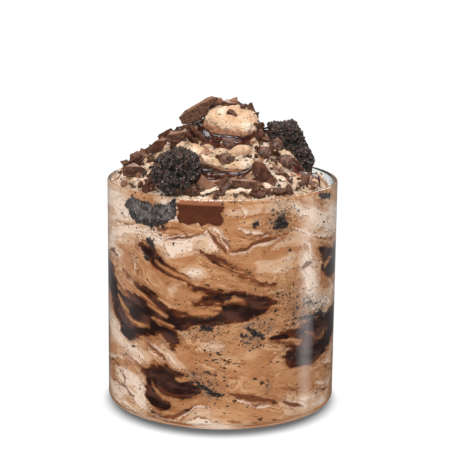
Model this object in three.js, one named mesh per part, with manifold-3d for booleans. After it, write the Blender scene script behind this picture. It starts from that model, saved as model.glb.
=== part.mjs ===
// A blended ice cream dessert in its straight glass tumbler: ice cream filled to the brim and heaped above
// it, with brownie chunks, broken chocolate and chocolate chips pressed into the heap.
// Millimetres, +Z up, the origin at the centre of the glass's foot. The shown side faces -Y.
import * as THREE from "three";
import { ConvexGeometry } from "three/addons/geometries/ConvexGeometry.js";
import { mergeVertices } from "three/addons/utils/BufferGeometryUtils.js";
import Module from "manifold-3d";

const wasm = await Module();
wasm.setup();

// Driving dimensions of the tumbler.
const GLASS_RADIUS = 43;
const GLASS_HEIGHT = 84.6;
const WALL = 1.6;
const BASE = 1.8;
const HEEL_RADIUS = 2.2;
const GAP = 0.3;
const GLASS_SEGMENTS = 64;

// Driving dimensions of the ice cream: level at the wall, peak above it, how blunt the peak is, and the folds
// of its swirl.
const FILL_RADIUS = GLASS_RADIUS - WALL - GAP;
const FILL_FLOOR = BASE + GAP;
const WALL_LEVEL = GLASS_HEIGHT - 0.8;
const PEAK = 25.1;
const CONE_POWER = 1.15;
const BLUNT = 4;
const FOLD_PITCH = 15;
const FOLD_HEIGHT = 2.4;
const DOLLOP = { x: 2, y: -2, radius: 12, height: 3.2 };
const DIP = { azimuth: 118, spread: 0.52, from: 24, to: 32, depth: 8.6 };
const LUMP = { height: 0.7, wave: [0.31, 0.17, 0.8], crossWave: [-0.12, 0.27, 2] };
const RIM_BLEND = 5;
const HEAP_SEGMENTS = 60;
const HEAP_RINGS = 14;

// Broken chocolate: how far its corners wander, how square and how uneven its outline is, and its upper face.
const BROKEN = { wander: 0.28, square: 0.75, uneven: 0.1, upper: 0.9, upperUneven: 0.08 };

// Brownie: the power that presses a ball towards a box, its reach, and the waves of its lumps.
const CRUMB = { boxPower: 3.2, reach: 0.97, lump: 0.045, waves: [3.1, 3.7, 4.3], detail: 3 };

// A chocolate chip's outline, as shares of its radius and its height, and its facets.
const CHIP_OUTLINE = [[0, 0], [0.86, 0], [1, 0.16], [0.94, 0.38], [0.66, 0.66], [0.26, 0.9], [0, 1]];
const CHIP_SEGMENTS = 10;

// Corners along the curved face of a piece that lies against the wall, and how far its pocket passes that face.
const WALL_PIECE_STEPS = 6;
const POCKET_OVERRUN = 1;

const glassLook = { color: 0xe8eeee, roughness: 0.03, metalness: 0 };
const creamLook = { color: 0xd3ad83, roughness: 0.55, metalness: 0 };
const brownieLook = { color: 0x2a1d17, roughness: 0.9, metalness: 0 };
const chocolateLook = { color: 0x4a2a1c, roughness: 0.45, metalness: 0 };
const chipLook = { color: 0x55321f, roughness: 0.5, metalness: 0 };

const degrees = THREE.MathUtils.degToRad;
const smoothstep = THREE.MathUtils.smoothstep;

// A repeatable number from -1 to 1 for corner `index` of the piece with this seed.
function jitter(seed, index) {
  const wave = Math.sin(seed * 12.9898 + index * 78.233) * 43758.5453;
  return 2 * (wave - Math.floor(wave)) - 1;
}

// Height of the heap's surface: a blunt cone up to the peak, folded into a rising spiral rope, with one round
// dollop on top, slow lumps, and a dip against the wall at the right of the back.
function heapHeight(x, y) {
  const r = Math.hypot(x, y);
  const azimuth = Math.atan2(x, -y);
  const inward = FILL_RADIUS - r;
  const slope = Math.hypot(r, BLUNT) - BLUNT;
  const slopeEnd = Math.hypot(FILL_RADIUS, BLUNT) - BLUNT;
  const cone = PEAK * Math.pow(Math.max(0, 1 - slope / slopeEnd), CONE_POWER);

  const turns = (r - FOLD_PITCH) / FOLD_PITCH - azimuth / (2 * Math.PI);
  const across = 2 * (turns - Math.floor(turns)) - 1;
  const rope = FOLD_HEIGHT * Math.sqrt(Math.max(0, 1 - across * across));

  const fromDollop = Math.hypot(x - DOLLOP.x, y - DOLLOP.y);
  const round = Math.sqrt(Math.max(0, 1 - (fromDollop / DOLLOP.radius) ** 2));
  const onTop = 1 - smoothstep(fromDollop, 0.7 * DOLLOP.radius, 1.1 * DOLLOP.radius);
  const clear = smoothstep(inward, 0, RIM_BLEND);
  const fold = (1 - onTop) * rope * clear + onTop * DOLLOP.height * round;

  const phase = ([alongX, alongY, start]) => alongX * x + alongY * y + start;
  const lump = LUMP.height * Math.sin(phase(LUMP.wave)) * Math.cos(phase(LUMP.crossWave)) * clear;

  const away = azimuth - degrees(DIP.azimuth);
  const turned = Math.atan2(Math.sin(away), Math.cos(away)) / DIP.spread;
  const dip = DIP.depth * Math.exp(-turned * turned) * smoothstep(r, DIP.from, DIP.to);
  return WALL_LEVEL + cone + fold + lump - dip;
}

// Points of a quarter or half circle, for a profile in (radius, height).
function arc(centreR, centreZ, radius, fromDeg, toDeg, steps) {
  const points = [];
  for (let i = 0; i <= steps; i += 1) {
    const t = degrees(fromDeg + ((toDeg - fromDeg) * i) / steps);
    points.push(new THREE.Vector2(centreR + radius * Math.cos(t), centreZ + radius * Math.sin(t)));
  }
  return points;
}

// A profile turned about +Z.
function turned(profile, segments) {
  return new THREE.LatheGeometry(profile, segments).rotateX(Math.PI / 2);
}

// The tumbler: flat foot, round heel, straight wall, rounded rim, and a flat floor inside.
function glassGeometry() {
  const inner = GLASS_RADIUS - WALL;
  const cornerRadius = HEEL_RADIUS - 1;
  const profile = [
    new THREE.Vector2(0, 0),
    ...arc(GLASS_RADIUS - HEEL_RADIUS, HEEL_RADIUS, HEEL_RADIUS, -90, 0, 3),
    ...arc(GLASS_RADIUS - WALL / 2, GLASS_HEIGHT - WALL / 2, WALL / 2, 0, 180, 4),
    ...arc(inner - cornerRadius, BASE + cornerRadius, cornerRadius, 0, -90, 3),
    new THREE.Vector2(0, BASE),
  ];
  return turned(profile, GLASS_SEGMENTS);
}

// The ice cream as one solid: a turned cylinder whose top rings are lifted onto the heap's surface.
function heapGeometry() {
  const cornerRadius = HEEL_RADIUS - 1;
  const profile = [
    new THREE.Vector2(0, FILL_FLOOR),
    ...arc(FILL_RADIUS - cornerRadius, FILL_FLOOR + cornerRadius, cornerRadius, -90, 0, 3),
  ];
  for (let i = 0; i <= HEAP_RINGS; i += 1) {
    profile.push(new THREE.Vector2(FILL_RADIUS * (1 - i / HEAP_RINGS), WALL_LEVEL));
  }
  const geometry = turned(profile, HEAP_SEGMENTS);
  const position = geometry.attributes.position;
  for (let i = 0; i < position.count; i += 1) {
    if (position.getZ(i) > WALL_LEVEL - 0.01) {
      position.setZ(i, heapHeight(position.getX(i), position.getY(i)));
    }
  }
  return geometry;
}

// A broken piece of chocolate, centred: a plate whose corners lie on a rounded box and are pushed about
// by the seed. The upper outline is pulled in and shifted, so the broken sides lean.
function shardGeometry({ size: [length, width, thickness], seed, corners = 6 }) {
  const points = [];
  for (let i = 0; i < corners; i += 1) {
    const t = (2 * Math.PI * (i + 0.5 + BROKEN.wander * jitter(seed, i))) / corners;
    const toSquare = 1 / Math.max(Math.abs(Math.cos(t)), Math.abs(Math.sin(t)));
    const uneven = 1 + BROKEN.uneven * jitter(seed, i + 20);
    const reach = 0.5 * (1 + BROKEN.square * (toSquare - 1)) * uneven;
    const x = THREE.MathUtils.clamp(length * reach * Math.cos(t), -length / 2, length / 2);
    const y = THREE.MathUtils.clamp(width * reach * Math.sin(t), -width / 2, width / 2);
    const upper = BROKEN.upper + BROKEN.upperUneven * jitter(seed, i + 40);
    points.push(new THREE.Vector3(x, y, -thickness / 2));
    points.push(new THREE.Vector3(x * upper, y * upper, thickness / 2));
  }
  return new ConvexGeometry(points);
}

// A brownie chunk, centred: a ball pressed towards a box, with lumps from three crossed waves.
function brownieGeometry({ size: [length, width, height], seed }) {
  const geometry = mergeVertices(bare(new THREE.IcosahedronGeometry(1, CRUMB.detail)), 1e-3);
  const position = geometry.attributes.position;
  const point = new THREE.Vector3();
  for (let i = 0; i < position.count; i += 1) {
    point.fromBufferAttribute(position, i);
    let powers = 0;
    let wave = 0;
    point.toArray().forEach((share, axis) => {
      powers += Math.abs(share) ** CRUMB.boxPower;
      wave += Math.sin(CRUMB.waves[axis] * share + (axis + 1) * seed);
    });
    point.multiplyScalar(Math.pow(powers, -1 / CRUMB.boxPower) * (CRUMB.reach + CRUMB.lump * wave));
    position.setXYZ(i, (point.x * length) / 2, (point.y * width) / 2, (point.z * height) / 2);
  }
  return geometry;
}

// A chocolate chip, centred: a flat-bottomed drop with a soft tip.
function chipGeometry({ size: [width, , height] }) {
  const points = CHIP_OUTLINE.map(([u, v]) => new THREE.Vector2((u * width) / 2, (v - 0.5) * height));
  return turned(points, CHIP_SEGMENTS);
}

// A piece pressed flat against the inside of the wall: its outer face follows the wall's curve. `edge` says
// how far its lower corners are cut off, and `grow` makes it larger all round, for the pocket that it lies in.
function wallPieceGeometry({ azimuth, reach, low, high, depth, edge }, grow = 0) {
  const outer = FILL_RADIUS + (grow ? POCKET_OVERRUN : 0);
  const back = FILL_RADIUS - depth - grow;
  const margin = grow / FILL_RADIUS;
  const half = degrees(reach / 2) + margin;
  const points = [];
  for (let i = 0; i <= WALL_PIECE_STEPS; i += 1) {
    const share = (2 * i) / WALL_PIECE_STEPS - 1;
    const t = degrees(azimuth) + half * share;
    const lift = edge * Math.abs(share) ** 3;
    for (const z of [low - grow + lift, high + grow - 0.3 * lift]) {
      points.push(new THREE.Vector3(outer * Math.sin(t), -outer * Math.cos(t), z));
      points.push(new THREE.Vector3(back * Math.sin(t), -back * Math.cos(t), z));
    }
  }
  return new ConvexGeometry(points);
}

const makers = { shard: shardGeometry, brownie: brownieGeometry, chip: chipGeometry };
const looks = { shard: chocolateLook, brownie: brownieLook, chip: chipLook };

// The pieces on the heap. x and y place the centre, lift is its height above the heap's surface there, size
// is length, width and thickness before turning, and turn is the rotation about X, Y and Z in degrees.
const toppings = [
  { name: "brownie_front_left", kind: "brownie", x: -16.1, y: -30, lift: 2, size: [17.6, 12.6, 14],
    turn: [6, 14, -14], seed: 1.3 },
  { name: "brownie_right", kind: "brownie", x: 25.3, y: -1, lift: 2.3, size: [17, 11, 10.4],
    turn: [0, 48, 8], seed: 4.1 },
  { name: "brownie_back", kind: "brownie", x: -13, y: 25, lift: 1.6, size: [16, 13, 11],
    turn: [-18, 8, 30], seed: 2.2 },
  { name: "shard_peak", kind: "shard", x: -8.2, y: -3.2, lift: 3.4, size: [15, 6.5, 4.2],
    turn: [-6, -28, 4], seed: 3, corners: 7 },
  { name: "plate_peak", kind: "shard", x: 2.4, y: 0.6, lift: 0.7, size: [6.4, 4.4, 1.9],
    turn: [8, 4, -8], seed: 5, corners: 5 },
  { name: "block_peak", kind: "shard", x: 3, y: -6.6, lift: 0.1, size: [4.6, 3.2, 2.8],
    turn: [38, 24, -30], seed: 7, corners: 5 },
  { name: "block_left", kind: "shard", x: -16.6, y: -9, lift: 1.2, size: [6.6, 4.6, 3.6],
    turn: [12, -6, -4], seed: 9, corners: 6 },
  { name: "splinter_upper", kind: "shard", x: -9.4, y: -13.2, lift: 0.8, size: [10.4, 1.7, 1.5],
    turn: [38, 38, -26], seed: 11, corners: 5 },
  { name: "splinter_middle", kind: "shard", x: -10.6, y: -15.2, lift: 0.6, size: [9.8, 1.7, 1.4],
    turn: [38, 36, -24], seed: 12, corners: 5 },
  { name: "splinter_lower", kind: "shard", x: -7.2, y: -15.6, lift: 0.6, size: [9.2, 1.6, 1.3],
    turn: [38, 40, -28], seed: 13, corners: 5 },
  { name: "chunk_left_middle", kind: "shard", x: -23, y: -6, lift: 0.6, size: [5.2, 4.4, 3.8],
    turn: [16, -28, 10], seed: 14, corners: 6 },
  { name: "splinter_left", kind: "shard", x: -32.6, y: -5.6, lift: 0.9, size: [7.6, 2.2, 1.7],
    turn: [14, -30, 0], seed: 15, corners: 5 },
  { name: "chunk_left_low", kind: "shard", x: -30.6, y: -17.6, lift: 0.8, size: [8.4, 6, 4.4],
    turn: [24, -18, 16], seed: 16, corners: 7 },
  { name: "slab_front", kind: "shard", x: 14.2, y: -29.6, lift: 0.8, size: [9.4, 7.4, 2.4],
    turn: [54, 16, -52], seed: 17, corners: 5 },
  { name: "plate_front", kind: "shard", x: 0, y: -38, lift: 0.8, size: [6.2, 4, 1.8],
    turn: [58, -6, 52], seed: 18, corners: 5 },
  { name: "bar_front", kind: "shard", x: 7.6, y: -36, lift: 0.7, size: [10, 3.6, 3.2],
    turn: [34, 10, -6], seed: 19, corners: 7 },
  { name: "plate_front_right", kind: "shard", x: 12.2, y: -37.7, lift: 0.6, size: [6.6, 2.8, 1.8],
    turn: [50, 8, -4], seed: 20, corners: 6 },
  { name: "chunk_front_right", kind: "shard", x: 19.8, y: -33.6, lift: 0.4, size: [5.4, 3, 2.4],
    turn: [40, 16, 12], seed: 21, corners: 6 },
  { name: "plate_right_top", kind: "shard", x: 11.4, y: -3.6, lift: 0.6, size: [6, 4.4, 1.9],
    turn: [18, 44, 16], seed: 22, corners: 5 },
  { name: "chunk_right_top", kind: "shard", x: 15, y: -9, lift: 0.8, size: [4.6, 4, 3],
    turn: [20, 30, 40], seed: 23, corners: 6 },
  { name: "slab_back", kind: "shard", x: 9, y: 27, lift: 0.8, size: [10, 7, 2.6],
    turn: [-48, 12, 28], seed: 24, corners: 5 },
  { name: "bar_back", kind: "shard", x: -2, y: 14.5, lift: 0.8, size: [11, 4.6, 3.4],
    turn: [-30, 18, -20], seed: 25, corners: 7 },
  { name: "plate_back_left", kind: "shard", x: -28, y: 13, lift: 0.8, size: [7, 5, 2],
    turn: [-16, -34, 30], seed: 26, corners: 5 },
  { name: "chunk_back_left", kind: "shard", x: -21, y: 4, lift: 0.9, size: [6, 4.6, 3.6],
    turn: [-10, -30, 50], seed: 27, corners: 6 },
  { name: "chunk_back", kind: "shard", x: 2, y: 36, lift: 0.6, size: [6.6, 3.8, 3],
    turn: [-44, 0, 10], seed: 28, corners: 6 },
  { name: "plate_back_right", kind: "shard", x: 17, y: 15, lift: 0.7, size: [6.8, 5, 2],
    turn: [-30, 30, 0], seed: 29, corners: 5 },
  { name: "chip_front_upper", kind: "chip", x: 1.6, y: -20.6, lift: 1.1, size: [5, 5, 3.8],
    turn: [40, 0, 0] },
  { name: "chip_front_middle", kind: "chip", x: 1.3, y: -26.6, lift: 1.1, size: [5.8, 5.8, 4.2],
    turn: [50, 8, 0] },
  { name: "chip_right_upper", kind: "chip", x: 19.6, y: -12.4, lift: 1.3, size: [5.2, 5.2, 4.8],
    turn: [10, 4, 0] },
  { name: "chip_right_middle", kind: "chip", x: 15.6, y: -19.2, lift: 1.1, size: [4.8, 4.8, 3.6],
    turn: [34, 30, 0] },
  { name: "chip_right_lower", kind: "chip", x: 23.6, y: -16.4, lift: 1.1, size: [5.6, 5.6, 4.2],
    turn: [28, 34, 0] },
  { name: "chip_right_rim", kind: "chip", x: 32.4, y: -21.4, lift: 1.1, size: [5.4, 5.4, 4],
    turn: [20, 30, 0] },
  { name: "chip_back_left", kind: "chip", x: -10, y: 35, lift: 1.1, size: [5.4, 5.4, 4],
    turn: [-34, -10, 0] },
  { name: "chip_back_middle", kind: "chip", x: 6, y: 19.6, lift: 1.1, size: [5.2, 5.2, 4],
    turn: [-36, 6, 0] },
  { name: "chip_back_outer", kind: "chip", x: -30, y: 22, lift: 1.1, size: [5.2, 5.2, 3.8],
    turn: [-20, -30, 0] },
];

// The two pieces pressed against the inside of the wall, seen through the glass.
const wallPieces = [
  { name: "bar_at_wall", azimuth: -11.4, reach: 20.6, low: 76.2, high: 83.2, depth: 3.2, edge: 0.3,
    look: chocolateLook },
  { name: "cookie_at_wall", azimuth: -38.5, reach: 29, low: 73.6, high: 81.4, depth: 4.5, edge: 2.4,
    look: brownieLook },
];

// A geometry with only its positions, so that shared corners can be merged.
function bare(geometry) {
  for (const attribute of ["normal", "uv"]) {
    geometry.deleteAttribute(attribute);
  }
  return geometry;
}

function solidOf(geometry) {
  const merged = mergeVertices(bare(geometry), 1e-3);
  return new wasm.Manifold(new wasm.Mesh({
    numProp: 3,
    vertProperties: new Float32Array(merged.attributes.position.array),
    triVerts: new Uint32Array(merged.index.array),
  }));
}

function geometryOf(solid) {
  const mesh = solid.getMesh();
  const geometry = new THREE.BufferGeometry();
  geometry.setAttribute("position", new THREE.BufferAttribute(mesh.vertProperties, 3));
  geometry.setIndex(new THREE.BufferAttribute(mesh.triVerts, 1));
  return geometry;
}

// Where a topping lies: turned, then set on the heap at its own lift.
function placing({ x, y, lift, turn }) {
  const [rx, ry, rz] = turn.map(degrees);
  const place = new THREE.Matrix4().makeRotationFromEuler(new THREE.Euler(rx, ry, rz));
  return place.setPosition(x, y, heapHeight(x, y) + lift);
}

// The pocket that a topping presses into the ice cream: the same shape, larger by the gap all round.
function pocketOf(topping) {
  const [sx, sy, sz] = topping.size.map((side) => (side + 2 * GAP) / side);
  return solidOf(makers[topping.kind](topping).scale(sx, sy, sz).applyMatrix4(placing(topping)));
}

// Only the heap's main body is kept, so that no crumb of it hangs between two pockets.
function largestBody(solid) {
  return solid.decompose().reduce((best, body) => (body.volume() > best.volume() ? body : best));
}

function iceCreamGeometry() {
  let cream = solidOf(heapGeometry());
  for (const topping of toppings) {
    cream = cream.subtract(pocketOf(topping));
  }
  for (const piece of wallPieces) {
    cream = cream.subtract(solidOf(wallPieceGeometry(piece, GAP)));
  }
  return geometryOf(largestBody(cream));
}

function named(name, geometry, look) {
  const mesh = new THREE.Mesh(geometry, new THREE.MeshStandardMaterial(look));
  mesh.name = name;
  return mesh;
}

const dessert = new THREE.Group();
dessert.add(named("glass", glassGeometry(), glassLook));
dessert.add(named("ice_cream", iceCreamGeometry(), creamLook));
for (const topping of toppings) {
  const mesh = named(topping.name, makers[topping.kind](topping), looks[topping.kind]);
  mesh.applyMatrix4(placing(topping));
  dessert.add(mesh);
}
for (const piece of wallPieces) {
  dessert.add(named(piece.name, wallPieceGeometry(piece), piece.look));
}

export default dessert;
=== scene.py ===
# %% [markdown]
# # A blended ice cream dessert in its glass
# The real thing is a short clear tumbler, filled to the brim with ice cream that was blended with fudge
# sauce and broken black cookies, heaped above the rim and topped with brownie, broken chocolate and chips.
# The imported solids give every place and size. This lesson builds the fine surfaces around them: first the
# measured frame, then the camera and the light, then each piece from the glass to the smallest crumb.

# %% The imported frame
import itertools

import bpy
import numpy as np
from mathutils import Matrix, Vector


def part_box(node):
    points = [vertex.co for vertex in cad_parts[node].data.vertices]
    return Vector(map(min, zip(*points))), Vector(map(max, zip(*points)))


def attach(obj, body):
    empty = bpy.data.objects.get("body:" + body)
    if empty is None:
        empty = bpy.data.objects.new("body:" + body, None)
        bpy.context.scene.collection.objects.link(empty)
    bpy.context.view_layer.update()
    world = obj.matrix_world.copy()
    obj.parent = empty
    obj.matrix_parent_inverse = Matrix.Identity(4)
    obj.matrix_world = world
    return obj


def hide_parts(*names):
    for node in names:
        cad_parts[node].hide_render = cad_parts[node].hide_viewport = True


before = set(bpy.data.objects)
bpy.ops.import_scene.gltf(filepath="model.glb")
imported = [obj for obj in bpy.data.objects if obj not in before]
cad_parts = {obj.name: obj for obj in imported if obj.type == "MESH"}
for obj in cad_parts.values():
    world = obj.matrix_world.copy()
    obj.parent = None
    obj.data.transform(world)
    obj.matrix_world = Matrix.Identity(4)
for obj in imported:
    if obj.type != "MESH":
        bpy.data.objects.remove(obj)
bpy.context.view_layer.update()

MM = 0.001
GLASS_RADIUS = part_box("glass")[1].x / MM
GLASS_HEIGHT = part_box("glass")[1].z / MM
SOLID_GAP = 0.3
FILL_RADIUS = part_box("ice_cream")[1].x / MM
WALL = GLASS_RADIUS - FILL_RADIUS - SOLID_GAP
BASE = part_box("ice_cream")[0].z / MM - SOLID_GAP
print(f"glass {2 * GLASS_RADIUS:.0f} mm wide, {GLASS_HEIGHT:.1f} high, wall {WALL:.1f}, base {BASE:.1f}")

# %% [markdown]
# ## The camera
# The picture is a studio shot with a long lens, from a little above the rim. The glass's rim ellipse gives
# how far down the camera looks, and the way its sides draw together gives how far away it stands. The camera
# is then set with a place, a pitch, a slight turn and a slight roll, and nothing else.

# %% Camera
LENS_MM = 114.4
SENSOR_MM = 36.0
CAMERA_PLACE = Vector((0.0, -533.4, 186.2)) * MM
CAMERA_PITCH = np.radians(12.80)
CAMERA_YAW = np.radians(0.24)
CAMERA_ROLL = np.radians(0.631)

forward = Vector((np.sin(CAMERA_YAW) * np.cos(CAMERA_PITCH),
                  np.cos(CAMERA_YAW) * np.cos(CAMERA_PITCH), -np.sin(CAMERA_PITCH)))
level_right = forward.cross(Vector((0, 0, 1))).normalized()
level_up = level_right.cross(forward)
camera_right = np.cos(CAMERA_ROLL) * level_right + np.sin(CAMERA_ROLL) * level_up
camera_up = -np.sin(CAMERA_ROLL) * level_right + np.cos(CAMERA_ROLL) * level_up
turn = Matrix((camera_right, camera_up, -forward)).transposed()
camera = bpy.data.objects.new("camera", bpy.data.cameras.new("camera"))
camera.data.lens = LENS_MM
camera.data.sensor_width = SENSOR_MM
camera.matrix_world = Matrix.Translation(CAMERA_PLACE) @ turn.to_4x4()
bpy.context.scene.collection.objects.link(camera)
bpy.context.scene.camera = camera
print("camera at", [round(x, 3) for x in camera.location])

# %% [markdown]
# ## Nodes in few words
# Every finish below is a net of shader nodes. A small helper that adds a node, sets its inputs and hands
# back its output keeps such a net readable: each line then says what a step does, not how it is wired.
# Colours are written as they look on a screen, from 0 to 255, and turned into the linear values that
# light is reckoned in.

# %% Shader helpers
def colour(red, green, blue):
    """A screen colour as linear light: below 4 % a channel is divided by 12.92, above it is a power curve."""
    share = np.array([red, green, blue]) / 255
    linear = np.where(share <= 0.04045, share / 12.92, ((share + 0.055) / 1.055) ** 2.4)
    return (*(float(x) for x in linear), 1.0)


class Painter:
    """Adds nodes to one tree. An input may be a plain value or another node's output."""

    def __init__(self, tree):
        self.tree = tree

    def add(self, kind, inputs=None, **settings):
        made = self.tree.nodes.new(kind)
        for name, value in settings.items():
            setattr(made, name, value)
        for key, value in (inputs or {}).items():
            if isinstance(value, bpy.types.NodeSocket):
                self.tree.links.new(value, made.inputs[key])
            else:
                made.inputs[key].default_value = value
        return made

    def place(self, stretch=(1, 1, 1)):
        """Object coordinates, stretched along the axes."""
        at = self.add("ShaderNodeTexCoord").outputs["Object"]
        return self.add("ShaderNodeMapping", {"Vector": at, "Scale": stretch}).outputs["Vector"]

    def field(self, name):
        """A number that the mesh carries at each of its points."""
        return self.add("ShaderNodeAttribute", attribute_name=name).outputs["Fac"]

    def noise(self, place, size_mm, detail=2.0, rough=0.5, warp=0.0, phase=None):
        """Cloudy noise from 0 to 1 with features of this size. Each `phase` gives clouds in other places."""
        inputs = {"Vector": place, "Scale": 1 / (size_mm * MM), "Detail": detail, "Roughness": rough,
                  "Distortion": warp}
        if phase is None:
            return self.add("ShaderNodeTexNoise", inputs).outputs["Fac"]
        return self.add("ShaderNodeTexNoise", inputs | {"W": phase}, noise_dimensions="4D").outputs["Fac"]

    def maths(self, operation, *values):
        return self.add("ShaderNodeMath", dict(enumerate(values)), operation=operation).outputs[0]

    def plus(self, first, second):
        return self.maths("ADD", first, second)

    def minus(self, first, second):
        return self.maths("SUBTRACT", first, second)

    def times(self, first, second):
        return self.maths("MULTIPLY", first, second)

    def scaled(self, value, factor, more):
        """The value times the factor, plus more."""
        return self.maths("MULTIPLY_ADD", value, factor, more)

    def vector(self, operation, inputs):
        return self.add("ShaderNodeVectorMath", inputs, operation=operation).outputs

    def band(self, value, start, end, low=0.0, high=1.0):
        """Rises smoothly from low to high as the value goes from start to end."""
        inputs = {"Value": value, "From Min": start, "From Max": end, "To Min": low, "To Max": high}
        return self.add("ShaderNodeMapRange", inputs, interpolation_type="SMOOTHSTEP").outputs["Result"]

    def blend(self, share, first, second):
        return self.add("ShaderNodeMix", {0: share, 6: first, 7: second}, data_type="RGBA").outputs[2]

    def over(self, base, tint, value, start, end, most=1.0):
        """The base, with a tint laid over it as far as the value has gone from start to end."""
        return self.blend(self.band(value, start, end, 0.0, most), base, tint)

    def bump(self, height, distance_mm, strength=1.0):
        inputs = {"Height": height, "Distance": distance_mm * MM, "Strength": strength}
        return self.add("ShaderNodeBump", inputs).outputs["Normal"]

    def group(self, name, **inputs):
        return self.add("ShaderNodeGroup", inputs, node_tree=bpy.data.node_groups[name]).outputs


def new_material(name, show):
    """An empty material and a painter for its tree."""
    material = bpy.data.materials.new(name)
    material.use_nodes = True
    material.diffuse_color = show
    material.node_tree.nodes.clear()
    return material, Painter(material.node_tree)


def new_group(name, inputs, outputs):
    """An empty node group with named sockets, its painter, and the sockets inside it."""
    tree = bpy.data.node_groups.new(name, "ShaderNodeTree")
    for socket, kind in inputs.items():
        tree.interface.new_socket(socket, in_out="INPUT", socket_type=kind)
    for socket, kind in outputs.items():
        tree.interface.new_socket(socket, in_out="OUTPUT", socket_type=kind)
    painter = Painter(tree)
    return painter, painter.add("NodeGroupInput").outputs, painter.add("NodeGroupOutput").inputs


def finish_surface(painter, shader_output):
    painter.add("ShaderNodeOutputMaterial", {"Surface": shader_output})


def principled(material, paint, inputs):
    """Finishes a material as one Principled surface with these inputs."""
    finish_surface(paint, paint.add("ShaderNodeBsdfPrincipled", inputs).outputs[0])
    return material


FLOAT, COLOUR, VECTOR = "NodeSocketFloat", "NodeSocketColor", "NodeSocketVector"
print("shader helpers ready")

# %% [markdown]
# ## Noise and meshes from whole arrays
# Food is uneven at every size. Two kinds of noise cover it: smooth gradient noise for lumps and wavering
# outlines, and cell noise for anything made of grains. Both work on whole arrays of points at once. A mesh is
# put together from a grid of points too: rings closed by a pole at each end, or the six faces of a cube
# pressed onto a ball, which has no crowded poles and suits chunky pieces.

# %% Noise
TABLE = 256


def shuffled(seed):
    """A fixed shuffle of the table's places and a random unit direction for each of them."""
    random = np.random.default_rng(seed)
    order = random.permutation(TABLE)
    directions = random.normal(size=(TABLE, 3))
    return order, directions / np.linalg.norm(directions, axis=1, keepdims=True)


def table_place(order, cell):
    """Which entry of the table belongs to a lattice cell: three shuffles, one for each direction."""
    x, y, z = np.moveaxis(cell % TABLE, -1, 0)
    return order[(order[(order[x] + y) % TABLE] + z) % TABLE]


def gradient_noise(points, seed=0):
    """Smooth noise, about -1 to 1, with one wave to a unit: every lattice corner slopes in a direction of
    its own, and a point takes the blend of the eight slopes around it."""
    order, directions = shuffled(seed)
    cell = np.floor(points).astype(int)
    inside = points - cell
    fade = inside ** 3 * (inside * (inside * 6 - 15) + 10)
    total = np.zeros(points.shape[:-1])
    for corner in itertools.product((0, 1), repeat=3):
        slope = ((inside - corner) * directions[table_place(order, cell + corner)]).sum(-1)
        total += np.where(corner, fade, 1 - fade).prod(-1) * slope
    return 1.6 * total


def rough_noise(points, size_mm, octaves=3, seed=0):
    """Gradient noise summed over octaves, each half as large and half as strong as the one before."""
    return sum(gradient_noise(points / size_mm * 2 ** k, seed + k) / 2 ** k for k in range(octaves))


def grain_noise(points, size_mm, seed=0):
    """Distance to the nearest grain's middle, with one grain at a random place in each cell of a lattice:
    0 in the middle of a grain and about 1 in the gaps between grains."""
    order, directions = shuffled(seed)
    middles = 0.5 + 0.45 * directions
    place = points / size_mm
    cell = np.floor(place).astype(int)
    nearest = np.full(points.shape[:-1], 9.0)
    for step in itertools.product((-1, 0, 1), repeat=3):
        middle = cell + step + middles[table_place(order, cell + step)]
        nearest = np.minimum(nearest, np.linalg.norm(place - middle, axis=-1))
    return nearest


def smooth_step(value, start, end):
    """0 below start, 1 above end, and 3t^2 - 2t^3 between them."""
    share = np.clip((value - start) / (end - start), 0, 1)
    return share * share * (3 - 2 * share)


print("noise of one point:", round(float(gradient_noise(np.array([[0.3, 0.7, 0.1]]))[0]), 3))


# %% Meshes
def full_turn(count):
    """The angles of so many even steps round a circle."""
    return 2 * np.pi * np.arange(count) / count


def ring_faces(rings, columns):
    """Faces of a closed form: quads between neighbouring rings, and fans from the first and last point,
    which are the poles. Point 0 is the lower pole, then come the rings, then the upper pole."""
    ring, column = np.meshgrid(np.arange(rings - 1), np.arange(columns), indexing="ij")
    here = 1 + ring * columns + column
    beside = 1 + ring * columns + (column + 1) % columns
    quads = np.stack([here, beside, beside + columns, here + columns], -1).reshape(-1, 4)
    around = np.arange(columns)
    after = (around + 1) % columns
    first = np.stack([np.zeros(columns, int), 1 + after, 1 + around], -1)
    last_ring = 1 + (rings - 1) * columns
    pole = np.full(columns, last_ring + columns)
    last = np.stack([pole, last_ring + around, last_ring + after], -1)
    return [quads, first, last]


def ring_points(rings, lower_pole, upper_pole):
    """The points of a closed form from its rings (rings x columns x 3) and its two poles."""
    return np.concatenate([[lower_pole], rings.reshape(-1, 3), [upper_pole]])


def square_grid(cuts):
    """The numbers of the points of a square cut into cuts x cuts quads, and the quads themselves."""
    index = np.arange((cuts + 1) ** 2).reshape(cuts + 1, cuts + 1)
    corners = [index[:-1, :-1], index[1:, :-1], index[1:, 1:], index[:-1, 1:]]
    return index, np.stack(corners, -1).reshape(-1, 4)


def cube_ball(cuts):
    """The six faces of a cube, each cut into cuts x cuts quads, as unit directions. Shared edges are found
    by their whole-number places on the cube, so the ball is closed."""
    step = np.arange(cuts + 1)
    first, second = np.meshgrid(step, step, indexing="ij")
    index, quad = square_grid(cuts)
    places, faces = [], []
    for axis, side in itertools.product(range(3), (0, cuts)):
        place = np.zeros((index.size, 3), int)
        place[:, axis] = side
        place[:, (axis + 1) % 3] = first.ravel()
        place[:, (axis + 2) % 3] = second.ravel()
        faces.append((quad if side else quad[:, ::-1]) + len(places) * index.size)
        places.append(place)
    whole, same = np.unique(np.concatenate(places), axis=0, return_inverse=True)
    ball = np.tan((2 * whole / cuts - 1) * np.pi / 4)
    ball /= np.linalg.norm(ball, axis=1, keepdims=True)
    return ball, [same.reshape(-1)[np.concatenate(faces)]]


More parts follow.
